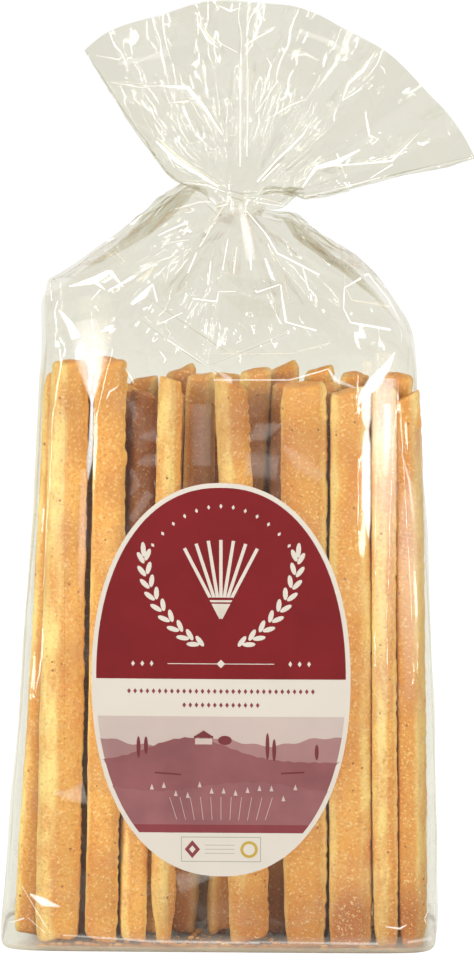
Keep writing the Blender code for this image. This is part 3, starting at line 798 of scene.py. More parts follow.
# Each strip is a row of nodes: x and z as seen on the bag's front plane and half width, all in mm, and
# strength. Every strip is made on the front, and some of them again on the back.
FILM_GLINTS = (
    ((-22.7, 332.5, 0.30, 0.50), (-12.3, 331.7, 0.97, 0.90), (-6.0, 324.1, 0.71, 0.90),
     (0.7, 314.1, 0.34, 0.60)),
    ((-19.0, 326.0, 0.19, 0.30), (-11.9, 326.7, 0.37, 0.60)),
    ((-11.6, 336.6, 0.30, 0.40), (-10.1, 331.3, 0.60, 0.70)),
    ((-23.9, 311.5, 0.41, 0.60), (-16.4, 304.6, 1.04, 0.90), (-7.8, 299.2, 0.75, 0.90),
     (-1.1, 294.7, 0.30, 0.60)),
    ((-21.6, 309.9, 0.19, 0.50), (-17.1, 301.9, 0.30, 0.50)),
    ((-15.3, 296.2, 0.30, 0.40), (-5.6, 295.4, 0.37, 0.50), (1.5, 292.8, 0.19, 0.40)),
    ((7.1, 339.7, 0.41, 0.20), (7.3, 321.4, 0.45, 0.40), (7.1, 302.3, 0.37, 0.30)),
    ((10.1, 338.9, 0.48, 0.20), (9.9, 325.2, 0.48, 0.35), (9.5, 306.1, 0.37, 0.30)),
    ((-1.1, 362.4, 0.11, 0.40), (3.7, 360.2, 0.48, 0.90)),
    ((3.7, 360.2, 0.52, 0.90), (4.8, 364.5, 0.11, 0.40)),
    ((3.7, 360.2, 0.45, 0.80), (8.2, 361.8, 0.11, 0.20)),
    ((-9.3, 357.6, 0.11, 0.40), (-4.8, 349.6, 0.63, 0.90), (-1.1, 346.6, 0.15, 0.50)),
    ((-1.1, 348.9, 0.11, 0.50), (6.0, 345.0, 0.19, 0.60)),
    ((8.6, 347.7, 0.15, 0.50), (19.4, 353.8, 0.45, 0.80)),
    ((15.3, 352.7, 0.15, 0.40), (20.1, 354.6, 0.30, 0.60)),
    ((16.8, 343.1, 0.30, 0.40), (18.6, 340.1, 0.37, 0.50), (13.4, 322.9, 0.19, 0.30)),
    ((21.2, 334.7, 0.19, 0.40), (13.4, 322.9, 0.34, 0.50)),
    ((56.7, 345.4, 0.15, 0.50), (52.2, 338.2, 0.75, 0.80), (47.0, 333.6, 0.67, 0.70),
     (44.7, 327.1, 0.22, 0.50)),
    ((51.8, 331.7, 0.30, 0.90), (44.7, 327.1, 0.19, 0.70)),
    ((53.3, 322.9, 0.30, 0.50), (54.8, 314.1, 0.56, 0.70), (57.8, 313.0, 0.19, 0.30)),
    ((30.2, 294.7, 0.30, 0.60), (35.0, 301.9, 0.75, 0.90), (42.9, 304.2, 1.04, 0.90),
     (51.1, 308.8, 0.45, 0.60)),
    ((35.4, 302.3, 0.34, 0.70), (63.0, 304.6, 0.34, 0.80)),
    ((42.9, 307.3, 0.37, 0.60), (46.2, 298.1, 0.30, 0.60)),
    ((63.0, 304.6, 0.56, 0.80), (73.0, 315.3, 0.15, 0.40)),
    ((55.2, 298.1, 0.19, 0.50), (63.4, 303.4, 0.37, 0.70)),
    ((34.3, 321.4, 0.30, 0.20), (30.2, 314.1, 0.52, 0.50), (20.5, 304.6, 0.48, 0.50),
     (13.4, 296.6, 0.41, 0.60)),
    ((21.6, 303.4, 0.19, 0.60), (15.3, 297.0, 0.34, 0.70)),
    ((16.4, 319.5, 0.19, 0.20), (25.7, 325.2, 0.41, 0.40), (32.8, 328.3, 0.15, 0.20)),
    ((58.5, 340.5, 0.11, 0.40), (60.0, 338.9, 0.37, 0.60), (60.8, 336.6, 0.11, 0.30)),
    ((67.5, 329.4, 0.11, 0.30), (70.1, 330.2, 0.34, 0.50), (71.9, 329.0, 0.11, 0.30)),
    ((-31.3, 340.8, 0.22, 0.20), (-18.6, 346.6, 0.22, 0.30)),
    ((-40.6, 333.6, 0.22, 0.25), (-29.1, 331.7, 0.34, 0.35), (-22.7, 332.5, 0.22, 0.30)),
    ((-45.8, 343.5, 0.19, 0.20), (-37.3, 342.0, 0.45, 0.35), (-34.7, 345.0, 0.19, 0.20)),
    ((24.6, 343.5, 0.37, 0.20), (31.3, 344.3, 0.60, 0.35), (36.2, 342.0, 0.30, 0.20)),
    ((-37.6, 340.5, 0.93, 0.12), (-19.0, 344.3, 1.12, 0.14)),
    ((28.7, 352.7, 1.12, 0.10), (40.6, 348.9, 1.12, 0.14), (48.8, 342.8, 0.75, 0.10)),
    ((29.4, 290.8, 0.30, 0.50), (40.6, 293.5, 0.30, 0.40), (59.3, 298.5, 0.22, 0.40)),
    ((-23.1, 276.3, 0.19, 0.60), (-12.7, 281.3, 0.52, 0.90)),
    ((-40.6, 277.5, 0.34, 0.40), (-32.1, 280.9, 0.67, 0.60), (-29.1, 284.0, 0.26, 0.40)),
    ((-48.5, 270.6, 0.30, 0.40), (-39.5, 275.2, 0.45, 0.60)),
    ((-20.5, 273.3, 0.15, 0.40), (-11.9, 274.8, 0.22, 0.50)),
    ((-56.3, 256.9, 0.26, 0.60), (-47.0, 259.2, 1.57, 0.95), (-41.0, 262.6, 1.04, 0.95),
     (-36.2, 256.9, 0.26, 0.60)),
    ((-47.0, 259.2, 1.12, 0.70), (-42.9, 255.7, 0.22, 0.50)),
    ((-25.3, 258.0, 0.26, 0.70), (-28.7, 253.8, 1.34, 0.95), (-33.2, 250.4, 0.67, 0.70)),
    ((-25.3, 258.0, 0.22, 0.80), (-23.7, 251.5, 0.41, 0.70)),
    ((-63.2, 258.0, 0.22, 0.50), (-62.6, 251.5, 0.30, 0.40)),
    ((-48.1, 251.9, 0.19, 0.50), (-44.7, 255.7, 0.41, 0.60)),
    ((-23.1, 242.8, 0.19, 0.50), (-14.2, 247.3, 0.26, 0.50)),
    ((8.9, 286.3, 0.22, 0.70), (16.4, 277.5, 0.30, 0.70), (20.9, 269.9, 0.37, 0.70),
     (36.5, 261.8, 0.48, 0.80)),
    ((16.4, 267.9, 0.37, 0.70), (19.0, 260.7, 0.63, 0.90), (20.1, 259.5, 0.19, 0.50)),
    ((2.6, 275.2, 0.22, 0.50), (0.6, 263.4, 0.37, 0.60)),
    ((-3.7, 266.8, 0.30, 0.50), (-4.8, 258.0, 0.37, 0.60)),
    ((-8.9, 269.9, 0.30, 0.50), (-12.1, 262.2, 0.37, 0.60)),
    ((10.6, 275.6, 0.48, 0.60), (11.2, 263.4, 0.37, 0.50)),
    ((6.0, 272.1, 0.26, 0.40), (4.8, 262.2, 0.30, 0.50)),
    ((-3.7, 286.6, 0.19, 0.50), (2.6, 288.2, 0.30, 0.70)),
    ((-10.4, 252.7, 0.26, 0.70), (-1.5, 251.5, 0.37, 0.80)),
    ((-1.5, 251.5, 0.30, 0.70), (-0.9, 255.3, 0.22, 0.60), (5.6, 255.3, 0.19, 0.50)),
    ((13.0, 255.0, 0.30, 0.60), (21.6, 258.0, 0.22, 0.70)),
    ((22.2, 258.0, 0.19, 0.70), (22.7, 252.7, 0.34, 0.80), (24.2, 243.9, 0.56, 0.80)),
    ((24.2, 243.9, 0.22, 0.60), (35.4, 240.8, 0.48, 0.60)),
    ((54.4, 262.2, 0.56, 0.90), (45.8, 256.9, 0.22, 0.70), (45.5, 249.2, 0.22, 0.60),
     (48.1, 243.9, 0.34, 0.70), (63.0, 241.2, 0.56, 0.80)),
    ((54.4, 262.2, 0.30, 0.70), (61.9, 252.7, 0.34, 0.60), (66.0, 245.0, 0.19, 0.50)),
    ((57.4, 260.7, 0.15, 0.50), (63.0, 254.6, 0.22, 0.60)),
    ((30.2, 264.5, 0.22, 0.50), (32.8, 255.7, 0.30, 0.60)),
    ((13.8, 288.9, 0.19, 0.60), (29.4, 286.6, 0.22, 0.50)),
    ((29.4, 282.4, 0.22, 0.40), (37.6, 277.1, 0.30, 0.50)),
    ((-16.8, 286.3, 0.19, 0.40), (-7.8, 288.9, 0.30, 0.50), (0.4, 288.9, 0.19, 0.50)),
    ((-18.3, 267.2, 0.15, 0.30), (-20.5, 258.8, 0.22, 0.40)),
    ((-3.0, 280.2, 0.15, 0.40), (-7.8, 272.1, 0.26, 0.50)),
    ((7.1, 288.6, 0.97, 0.25), (9.3, 278.6, 1.86, 0.35), (11.2, 267.2, 2.05, 0.20)),
    ((1.9, 288.6, 0.37, 0.30), (-5.6, 277.1, 0.93, 0.25)),
    ((-60.0, 248.1, 0.52, 0.50), (-56.3, 243.1, 1.49, 0.70), (-53.7, 237.4, 2.24, 0.70)),
    ((-50.3, 244.3, 5.59, 0.16), (-48.5, 235.5, 7.45, 0.28), (-48.1, 229.0, 6.71, 0.42),
     (-47.9, 220.6, 3.54, 0.48), (-47.9, 213.0, 0.52, 0.62)),
    ((-45.1, 232.8, 1.86, 0.25), (-45.8, 224.0, 1.49, 0.35), (-47.3, 216.0, 0.37, 0.30)),
    ((-47.9, 215.3, 0.60, 0.65), (-48.3, 199.2, 1.12, 0.62), (-49.0, 190.8, 1.42, 0.55),
     (-49.6, 183.6, 0.22, 0.40)),
    ((-51.1, 187.8, 1.49, 0.10), (-51.6, 164.9, 1.86, 0.18), (-52.2, 147.7, 1.49, 0.12),
     (-52.6, 134.3, 0.37, 0.04)),
    ((-42.5, 214.5, 0.19, 0.60), (-41.4, 217.2, 0.37, 0.80), (-38.4, 219.1, 0.22, 0.70)),
    ((-35.4, 226.0, 0.22, 0.40), (-33.5, 222.9, 0.41, 0.60), (-32.4, 220.6, 0.19, 0.40)),
    ((-22.7, 232.8, 0.22, 0.40), (-20.5, 229.8, 0.45, 0.60), (-21.2, 228.2, 0.15, 0.40)),
    ((-19.8, 237.0, 0.45, 0.45), (-9.7, 230.5, 0.30, 0.45), (-1.5, 224.0, 0.30, 0.40)),
    ((-2.6, 221.9, 0.26, 0.50), (25.7, 222.1, 0.30, 0.60), (36.5, 225.2, 0.30, 0.60),
     (39.9, 226.3, 0.30, 0.50)),
    ((39.9, 226.3, 0.30, 0.50), (42.5, 222.1, 1.12, 0.40), (50.3, 219.1, 0.37, 0.30)),
    ((-1.1, 225.2, 0.37, 0.20), (3.0, 222.1, 1.68, 0.35), (4.1, 220.6, 0.37, 0.30)),
    ((64.5, 232.8, 0.22, 0.80), (61.1, 226.7, 1.86, 0.95), (56.3, 220.2, 2.98, 0.95),
     (52.2, 216.0, 1.30, 0.90), (51.4, 213.0, 0.30, 0.80)),
    ((54.0, 219.1, 2.42, 0.80), (54.2, 207.5, 2.10, 0.70), (54.6, 201.0, 0.30, 0.30)),
    ((54.2, 203.1, 1.12, 0.50), (54.2, 197.3, 1.94, 0.80), (54.2, 176.3, 2.09, 0.85),
     (54.8, 168.3, 1.27, 0.80), (55.2, 161.8, 0.19, 0.50)),
    ((49.9, 209.2, 0.19, 0.50), (54.0, 212.6, 0.52, 0.70)),
    ((61.9, 213.0, 1.68, 0.40), (61.9, 201.5, 1.68, 0.50), (61.5, 185.9, 0.93, 0.20)),
    ((60.8, 222.9, 4.85, 0.40), (60.8, 203.1, 5.22, 0.50), (61.1, 184.0, 5.22, 0.30),
     (61.1, 153.4, 4.85, 0.14), (60.8, 122.9, 3.73, 0.08), (60.0, 77.1, 1.49, 0.04),
     (59.6, 58.0, 0.37, 0.02)),
    ((70.1, 187.8, 1.12, 0.03), (70.1, 176.3, 3.73, 0.17), (70.1, 153.4, 4.47, 0.20),
     (70.4, 130.5, 4.10, 0.14), (70.8, 100.0, 1.86, 0.05)),
    ((66.0, 199.2, 0.30, 0.10), (70.1, 184.0, 0.56, 0.40), (71.9, 168.7, 0.30, 0.20)),
    ((-33.5, 213.4, 1.49, 0.06), (-31.7, 208.8, 1.49, 0.06), (-32.8, 203.8, 0.37, 0.06)),
    ((-30.6, 200.0, 0.19, 0.07), (-27.2, 200.4, 2.24, 0.07), (-23.9, 200.8, 3.35, 0.07)),
    ((-31.3, 190.1, 0.56, 0.07), (-28.0, 190.8, 2.61, 0.07), (-23.9, 191.6, 2.98, 0.07)),
    ((-33.5, 187.8, 0.75, 0.06), (-31.3, 182.4, 1.86, 0.06), (-33.5, 177.9, 0.75, 0.06)),
    ((-26.5, 179.0, 2.24, 0.07), (-33.5, 168.3, 1.68, 0.07)),
    ((-7.1, 212.6, 4.29, 0.07), (-7.1, 189.3, 4.29, 0.07)),
    ((23.5, 196.9, 0.37, 0.07), (29.4, 190.8, 3.73, 0.08), (37.6, 184.7, 2.24, 0.07)),
    ((23.1, 205.3, 0.37, 0.08), (15.3, 202.3, 4.47, 0.09), (10.1, 199.2, 0.75, 0.08)),
    ((9.3, 190.1, 5.22, 0.09), (21.2, 188.6, 5.59, 0.09)),
    ((-60.8, 210.7, 3.73, 0.03), (-60.0, 168.7, 4.47, 0.04), (-60.0, 138.2, 2.24, 0.02)),
    ((29.4, 161.1, 0.75, 0.05), (36.2, 149.6, 3.35, 0.06), (40.6, 122.9, 0.75, 0.05)),
    ((-72.3, 23.3, 0.37, 0.50), (-67.5, 20.2, 2.05, 0.80), (-61.1, 18.3, 0.45, 0.50)),
    ((-63.0, 63.0, 0.37, 0.12), (-56.3, 61.8, 2.98, 0.15), (-51.1, 63.0, 5.59, 0.15)),
    ((-75.3, 26.3, 0.19, 0.40), (-66.3, 10.3, 0.26, 0.50)),
    ((-73.4, 14.1, 0.15, 0.40), (-66.7, 8.0, 0.22, 0.50)),
    ((-80.1, 11.8, 0.22, 0.40), (-74.5, 13.7, 0.52, 0.50)),
    ((-16.4, 27.9, 4.85, 0.10), (-9.3, 29.8, 2.98, 0.10), (-3.0, 31.3, 1.49, 0.10)),
    ((62.2, 11.4, 0.22, 0.60), (67.5, 10.7, 0.56, 0.75), (70.1, 12.2, 0.22, 0.60)),
    ((78.3, 18.3, 0.15, 0.50), (76.8, 14.5, 0.26, 0.60), (77.9, 11.8, 0.11, 0.40)),
    ((70.4, 5.3, 0.56, 0.30), (79.4, 6.9, 0.93, 0.30)),
    ((-60.0, 7.2, 0.37, 0.25), (-26.5, 5.0, 0.60, 0.30), (14.5, 4.6, 0.52, 0.25)),
    ((10.8, 5.0, 0.37, 0.20), (59.3, 4.6, 0.67, 0.30)),
)
# Strips of painted shade along a few folds, listed the same way.
FILM_SHADES = (
    ((-30.9, 245.8, 0.15, 0.10), (-19.8, 236.6, 0.19, 0.40), (-9.7, 229.8, 0.22, 0.50),
     (2.6, 221.8, 0.15, 0.30)),
    ((-4.1, 227.5, 0.11, 0.20), (10.8, 233.6, 0.19, 0.35), (26.1, 240.1, 0.11, 0.20)),
    ((2.6, 291.4, 0.22, 0.25), (7.5, 289.7, 0.41, 0.50), (12.3, 290.5, 0.22, 0.25)),
    ((6.7, 355.7, 0.11, 0.25), (6.9, 344.3, 0.15, 0.35)),
    ((-57.8, 221.0, 0.11, 0.10), (-58.5, 138.2, 0.13, 0.18), (-59.3, 54.2, 0.11, 0.10)),
    ((48.8, 218.7, 0.19, 0.10), (77.9, 21.7, 0.19, 0.00)),
    ((0.4, 253.8, 0.75, 0.05), (10.8, 249.6, 4.47, 0.13), (22.0, 248.1, 3.73, 0.10)),
    ((-60.0, 267.2, 0.75, 0.10), (-48.8, 267.2, 2.24, 0.12), (-30.2, 275.6, 1.86, 0.06)),
    ((29.4, 280.2, 1.12, 0.10), (42.5, 271.0, 1.86, 0.12), (52.6, 259.2, 1.12, 0.06)),
)


def painted_light_strips(name, strips, colour, glowing, flip, first, step, strength):
    """Makes strips of painted highlight or painted shade, every step-th of the strips from the first on.
    They lie on the film where the camera sees them, or for flip = -1 on its back, where a camera behind it
    would."""
    skin = BVHTree.FromPolygons([vertex.co for vertex in film.data.vertices],
                                [face.vertices[:] for face in film.data.polygons])
    eye = camera.location.copy()
    eye.y *= flip
    sheet = bmesh.new()
    shares = []
    for nodes in strips[first::step]:
        # The spots along the strip: place, the direction across it, half width and strength.
        spots = []
        for (x, z, wide, strong), (next_x, next_z, next_wide, next_strong) in zip(nodes, nodes[1:]):
            run = Vector((next_x - x, next_z - z)) * MM
            count = max(2, math.ceil(run.length / CREASE_STEP))
            aside = Vector((-run.y, run.x)).normalized()
            for number in range(count + (nodes[-1] == (next_x, next_z, next_wide, next_strong))):
                share = number / count
                place = Vector((x, z)) * MM + run * share
                half_width = (wide + (next_wide - wide) * share) * MM
                spots.append((place, aside, half_width, strong + (next_strong - strong) * share))
        # A row of five points across the strip at each spot, left empty where the film isn't hit.
        rows = []
        for place, aside, half_width, strong in spots:
            hits = []
            for across in CREASE_ACROSS:
                spot = place + aside * across * half_width
                aim = Vector((spot.x, FRONT_PLANE * flip, spot.y))
                hit, normal, _, _ = skin.ray_cast(eye, (aim - eye).normalized())
                if hit is not None:
                    outwards = normal if normal.dot(eye - hit) > 0.0 else -normal
                    hits.append(hit + outwards * CREASE_RAISED)
            whole = len(hits) == len(CREASE_ACROSS)
            row = [sheet.verts.new(hit) for hit in hits] if whole else []
            rows.append((row, strong))
        for (low, strong), (high, next_strong) in zip(rows, rows[1:]):
            if low and high and max((a.co - b.co).length for a, b in zip(low, high)) < CREASE_JUMP:
                for left, right, next_left, next_right in zip(low, low[1:], high, high[1:]):
                    corners = (left, right, next_right, next_left)
                    sheet.faces.new(corners if flip > 0.0 else reversed(corners))
        for row, strong in rows:
            if row:
                shares.extend(fade * strong for fade in CREASE_FADE)
    mesh = bpy.data.meshes.new(name)
    light_share = sheet.verts.layers.float.new("painted_light")
    for vertex, share in zip(sheet.verts, shares):
        vertex[light_share] = share * strength
    loose = [vertex for vertex in sheet.verts if not vertex.link_faces]
    bmesh.ops.delete(sheet, geom=loose, context="VERTS")
    bmesh.ops.recalc_face_normals(sheet, faces=sheet.faces)
    sheet.to_mesh(mesh)
    sheet.free()
    strip_obj = bpy.data.objects.new(name, mesh)
    bpy.context.scene.collection.objects.link(strip_obj)
    mesh.shade_smooth()
    painted_light, tree, output = new_material(name + "_finish")
    where = add_node(tree, "TexCoord").outputs["Object"]
    streaks = add_node(tree, "TexNoise", Vector=where, Scale=700.0, Detail=2.0)
    uneven = remap(tree, streaks.outputs["Fac"], 0.3, 0.7, 0.82, 1.08)
    amount = work_out(tree, "MULTIPLY", read(tree, "painted_light"), uneven, clamped=True)
    clear = add_node(tree, "BsdfTransparent")
    lit = add_node(tree, "BsdfDiffuse", Color=colour)
    # Painted highlight: the strip's colour also glows, so that it looks brighter than the light on it.
    glow = add_node(tree, "Emission", Color=colour, Strength=glowing)
    painted_colour = add_node(tree, "AddShader", _0=lit.outputs[0], _1=glow.outputs[0])
    surface = add_node(tree, "MixShader", _0=amount, _1=clear.outputs[0], _2=painted_colour.outputs[0])
    tree.links.new(surface.outputs[0], output.inputs["Surface"])
    mesh.materials.append(painted_light)
    strip_obj.visible_shadow = False
    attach(strip_obj, "root")


painted_light_strips("film_painted_glints_front", FILM_GLINTS, GLINT_WHITE, GLINT_GLOW,
              flip=1.0, first=0, step=1, strength=1.0)
painted_light_strips("film_painted_glints_back", FILM_GLINTS, GLINT_WHITE, GLINT_GLOW,
              flip=-1.0, first=1, step=2, strength=0.7)
painted_light_strips("film_painted_fold_shade_front", FILM_SHADES, CREASE_SHADE, 0.0,
              flip=1.0, first=0, step=1, strength=1.0)
painted_light_strips("film_painted_fold_shade_back", FILM_SHADES, CREASE_SHADE, 0.0,
              flip=-1.0, first=0, step=2, strength=0.8)


# The label: an oval of coated paper stuck on the front, printed in maroon and cream with a cream rim.
# It is cut from one oval sheet, divided at the edges of its printed bands and bent to the front.
LABEL_GAP = 0.3 * MM
LABEL_PAPER = 0.4 * MM
LABEL_RIM = 1.75 * MM
LABEL_GRID = 8.0 * MM
LABEL_FULLNESS = 2.2
OVAL_CORNERS = 128
MAROON_FOOT = 107.6 * MM
CREAM_FOOT = 93.2 * MM
PICTURE_FOOT = 51.2 * MM
STRIPE_FOOT = 48.0 * MM
BASE_LEFT = -84.5 * MM
BASE_RIGHT = 81.6 * MM
TOP_LEFT = -68.8 * MM
TOP_RIGHT = 73.2 * MM
PRINT_RAISED = 0.06 * MM
PRINT_MERGE = 0.02 * MM
PICTURE_STEPS = 48
PAPER_CREAM = (0.585, 0.532, 0.455, 1.0)
INK_MAROON = (0.158, 0.009, 0.011, 1.0)
INK_STRIPE = (0.200, 0.042, 0.047, 1.0)
INK_SKY = (0.480, 0.385, 0.340, 1.0)
INK_FAR = (0.310, 0.165, 0.155, 1.0)
INK_HILL = (0.225, 0.080, 0.082, 1.0)
INK_FIELD = (0.245, 0.095, 0.097, 1.0)
INK_DARK = (0.145, 0.030, 0.034, 1.0)
INK_LIGHT = (0.500, 0.400, 0.350, 1.0)
INK_GOLD = (0.450, 0.310, 0.050, 1.0)
INK_GREY = (0.330, 0.320, 0.270, 1.0)


def front_of_panel(x, z):
    """The y of the front panel's flat film under the label."""
    rise = z / STICK_TOP
    left = BASE_LEFT + (TOP_LEFT - BASE_LEFT) * rise
    right = BASE_RIGHT + (TOP_RIGHT - BASE_RIGHT) * rise
    across = (2.0 * x - left - right) / (right - left)
    depth = 0.5 * (BASE_DEPTH + (TOP_DEPTH - BASE_DEPTH) * rise)
    return -depth - PANEL_BULGE * (1.0 - across**2) * np.sin(math.pi * np.minimum(z / SHOULDER_START, 1.0))


def lay_on_panel(obj, proud):
    """Bends a flat upright piece to the front panel, proud of the film by the distance given."""
    places, _ = points_of(obj.data)
    places[:, 1] = front_of_panel(places[:, 0], places[:, 2]) - proud
    set_points(obj.data, places)


def full_oval(half_width, half_height):
    """A flat upright oval at the label's centre, with sides a little fuller than an ellipse's."""
    bpy.ops.object.select_all(action="DESELECT")
    bpy.ops.mesh.primitive_circle_add(vertices=OVAL_CORNERS, radius=1.0, fill_type="NGON",
                                      rotation=(math.pi / 2.0, 0.0, 0.0),
                                      location=(0.0, 0.0, LABEL_CENTRE_Z))
    oval = bpy.context.object
    oval.scale = (half_width, half_height, 1.0)
    bpy.ops.object.transform_apply(location=True, rotation=True, scale=True)
    places, _ = points_of(oval.data)
    places[:, 2] -= LABEL_CENTRE_Z
    shares = np.abs(places[:, (0, 2)] / np.array((half_width, half_height)))
    places *= (shares**LABEL_FULLNESS).sum(axis=1)[:, None] ** (-1.0 / LABEL_FULLNESS)
    places[:, 2] += LABEL_CENTRE_Z
    set_points(oval.data, places)
    return oval


def thicken(obj, thickness):
    """Gives a flat piece its thickness, behind its printed face."""
    bpy.ops.object.select_all(action="DESELECT")
    bpy.context.view_layer.objects.active = obj
    obj.select_set(True)
    wall = obj.modifiers.new("wall", "SOLIDIFY")
    wall.thickness = thickness
    wall.offset = -1.0
    bpy.ops.object.modifier_apply(modifier=wall.name)


def printed(name, colour, mottling):
    """Printed coated paper: even ink with a fine paper tooth and a soft sheen."""
    ink, tree, output = new_material(name)
    where = add_node(tree, "TexCoord").outputs["Object"]
    cloud = add_node(tree, "TexNoise", Vector=where, Scale=55.0, Detail=3.0).outputs["Fac"]
    tooth = add_node(tree, "TexNoise", Vector=where, Scale=2600.0, Detail=2.0).outputs["Fac"]
    amount = remap(tree, cloud, 0.3, 0.7, 1.0 - mottling, 1.0 + mottling)
    shade = add_node(tree, "HueSaturation", Color=colour, Value=amount).outputs[0]
    bump = add_node(tree, "Bump", Strength=0.12, Distance=0.05 * MM, Height=tooth).outputs[0]
    sheen = remap(tree, tooth, 0.0, 1.0, 0.38, 0.55)
    surface = add_node(tree, "BsdfPrincipled", Base_Color=shade, Roughness=sheen, Normal=bump)
    surface.inputs["Specular IOR Level"].default_value = 0.12
    tree.links.new(surface.outputs[0], output.inputs["Surface"])
    return ink


inks = {
    "cream": printed("paper_cream", PAPER_CREAM, 0.02),
    "maroon": printed("ink_maroon", INK_MAROON, 0.10),
    "stripe": printed("ink_stripe", INK_STRIPE, 0.10),
    "sky": printed("ink_sky", INK_SKY, 0.04),
    "far": printed("ink_far_hills", INK_FAR, 0.10),
    "hill": printed("ink_hill", INK_HILL, 0.14),
    "field": printed("ink_field", INK_FIELD, 0.16),
    "dark": printed("ink_dark", INK_DARK, 0.10),
    "light": printed("ink_light", INK_LIGHT, 0.08),
    "gold": printed("ink_gold", INK_GOLD, 0.05),
    "grey": printed("ink_grey", INK_GREY, 0.05),
}


def inside_rim(face):
    """Whether a face of the label lies inside its cream rim, whose own faces are all short."""
    middle = face.calc_center_median()
    reach = max((vertex.co - middle).length for vertex in face.verts)
    return reach > 3.0 * LABEL_RIM


label = full_oval(LABEL_HALF_WIDTH, LABEL_HALF_HEIGHT)
label.name = "label_paper"
for ink_name in ("cream", "maroon", "sky", "stripe"):
    label.data.materials.append(inks[ink_name])
bpy.ops.object.mode_set(mode="EDIT")
bpy.ops.mesh.select_all(action="SELECT")
bpy.ops.mesh.inset(thickness=LABEL_RIM)
for height in (MAROON_FOOT, CREAM_FOOT, PICTURE_FOOT, STRIPE_FOOT):
    edited = bmesh.from_edit_mesh(label.data)
    inner = [face for face in edited.faces if inside_rim(face)]
    deselect(edited)
    for face in inner:
        face.select_set(True)
    bmesh.update_edit_mesh(label.data)
    bpy.ops.mesh.bisect(plane_co=(0.0, 0.0, height), plane_no=(0.0, 0.0, 1.0))
edited = bmesh.from_edit_mesh(label.data)
for face in edited.faces:
    middle = face.calc_center_median().z
    if not inside_rim(face) or middle < STRIPE_FOOT or CREAM_FOOT < middle < MAROON_FOOT:
        face.material_index = 0
    elif middle > MAROON_FOOT:
        face.material_index = 1
    elif middle > PICTURE_FOOT:
        face.material_index = 2
    else:
        face.material_index = 3
bmesh.update_edit_mesh(label.data)
for axis, middle, half in ((0, 0.0, LABEL_HALF_WIDTH), (2, LABEL_CENTRE_Z, LABEL_HALF_HEIGHT)):
    for step in range(-int(half / LABEL_GRID), int(half / LABEL_GRID) + 1):
        place = [0.0, 0.0, 0.0]
        direction = [0.0, 0.0, 0.0]
        place[axis] = middle + step * LABEL_GRID
        direction[axis] = 1.0
        bpy.ops.mesh.select_all(action="SELECT")
        bpy.ops.mesh.bisect(plane_co=place, plane_no=direction)
bpy.ops.object.mode_set(mode="OBJECT")
lay_on_panel(label, LABEL_GAP + LABEL_PAPER)
thicken(label, LABEL_PAPER)
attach(label, "root")
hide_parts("label")
label.visible_shadow = False


def finish_print(layer, ink, proud):
    """Bends a printed layer to the label's face and gives it its ink."""
    lay_on_panel(layer, LABEL_GAP + LABEL_PAPER + proud * MM)
    thicken(layer, PRINT_RAISED)
    layer.data.materials.clear()
    layer.data.materials.append(inks[ink])
    layer.visible_shadow = False
    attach(layer, "root")


def cut_shapes(name, ink, proud, shapes):
    """Small printed shapes of one ink: bars, discs and so on at x, z, with half sizes and a turn."""
    bpy.ops.object.select_all(action="DESELECT")
    made = []
    for kind, x, z, half_x, half_z, turn_degrees in shapes:
        placing = {
            "location": (x * MM, 0.0, z * MM),
            "rotation": (math.pi / 2.0, -math.radians(turn_degrees), 0.0),
        }
        if kind == "bar":
            bpy.ops.mesh.primitive_grid_add(x_subdivisions=16, y_subdivisions=1, size=2.0, **placing)
        else:
            sides = {"disc": 20, "lozenge": 4, "grain": 10, "roof": 3}[kind]
            bpy.ops.mesh.primitive_circle_add(vertices=sides, radius=1.0, fill_type="NGON", **placing)
        shape = bpy.context.object
        shape.scale = (half_x * MM, half_z * MM, 1.0)
        made.append(shape)
    for shape in made:
        shape.select_set(True)
    bpy.ops.object.transform_apply(location=True, rotation=True, scale=True)
    if len(made) > 1:
        bpy.ops.object.join()
    print_layer = bpy.context.object
    print_layer.name = name
    finish_print(print_layer, ink, proud)


def picture_layer(name, ink, proud, skyline):
    """A tone of the picture, from its foot up to a skyline, cut off at the oval's rim."""
    half_width = LABEL_HALF_WIDTH - LABEL_RIM
    layer = full_oval(half_width, LABEL_HALF_HEIGHT - LABEL_RIM)
    layer.name = name
    bpy.ops.object.mode_set(mode="EDIT")
    for height, keeps_above in ((PICTURE_FOOT, True), (CREAM_FOOT, False)):
        bpy.ops.mesh.select_all(action="SELECT")
        bpy.ops.mesh.bisect(plane_co=(0.0, 0.0, height), plane_no=(0.0, 0.0, 1.0),
                            clear_inner=keeps_above, clear_outer=not keeps_above)
    for step in range(1, PICTURE_STEPS):
        x = half_width * (2.0 * step / PICTURE_STEPS - 1.0)
        bpy.ops.mesh.select_all(action="SELECT")
        bpy.ops.mesh.bisect(plane_co=(x, 0.0, 0.0), plane_no=(1.0, 0.0, 0.0))
    bpy.ops.object.mode_set(mode="OBJECT")
    places, _ = points_of(layer.data)
    places[:, 2] = np.minimum(places[:, 2], skyline(places[:, 0] / MM) * MM)
    set_points(layer.data, places)
    bpy.ops.object.mode_set(mode="EDIT")
    bpy.ops.mesh.select_all(action="SELECT")
    bpy.ops.mesh.remove_doubles(threshold=PRINT_MERGE)
    bpy.ops.mesh.dissolve_degenerate(threshold=PRINT_MERGE)
    bpy.ops.object.mode_set(mode="OBJECT")
    finish_print(layer, ink, proud)


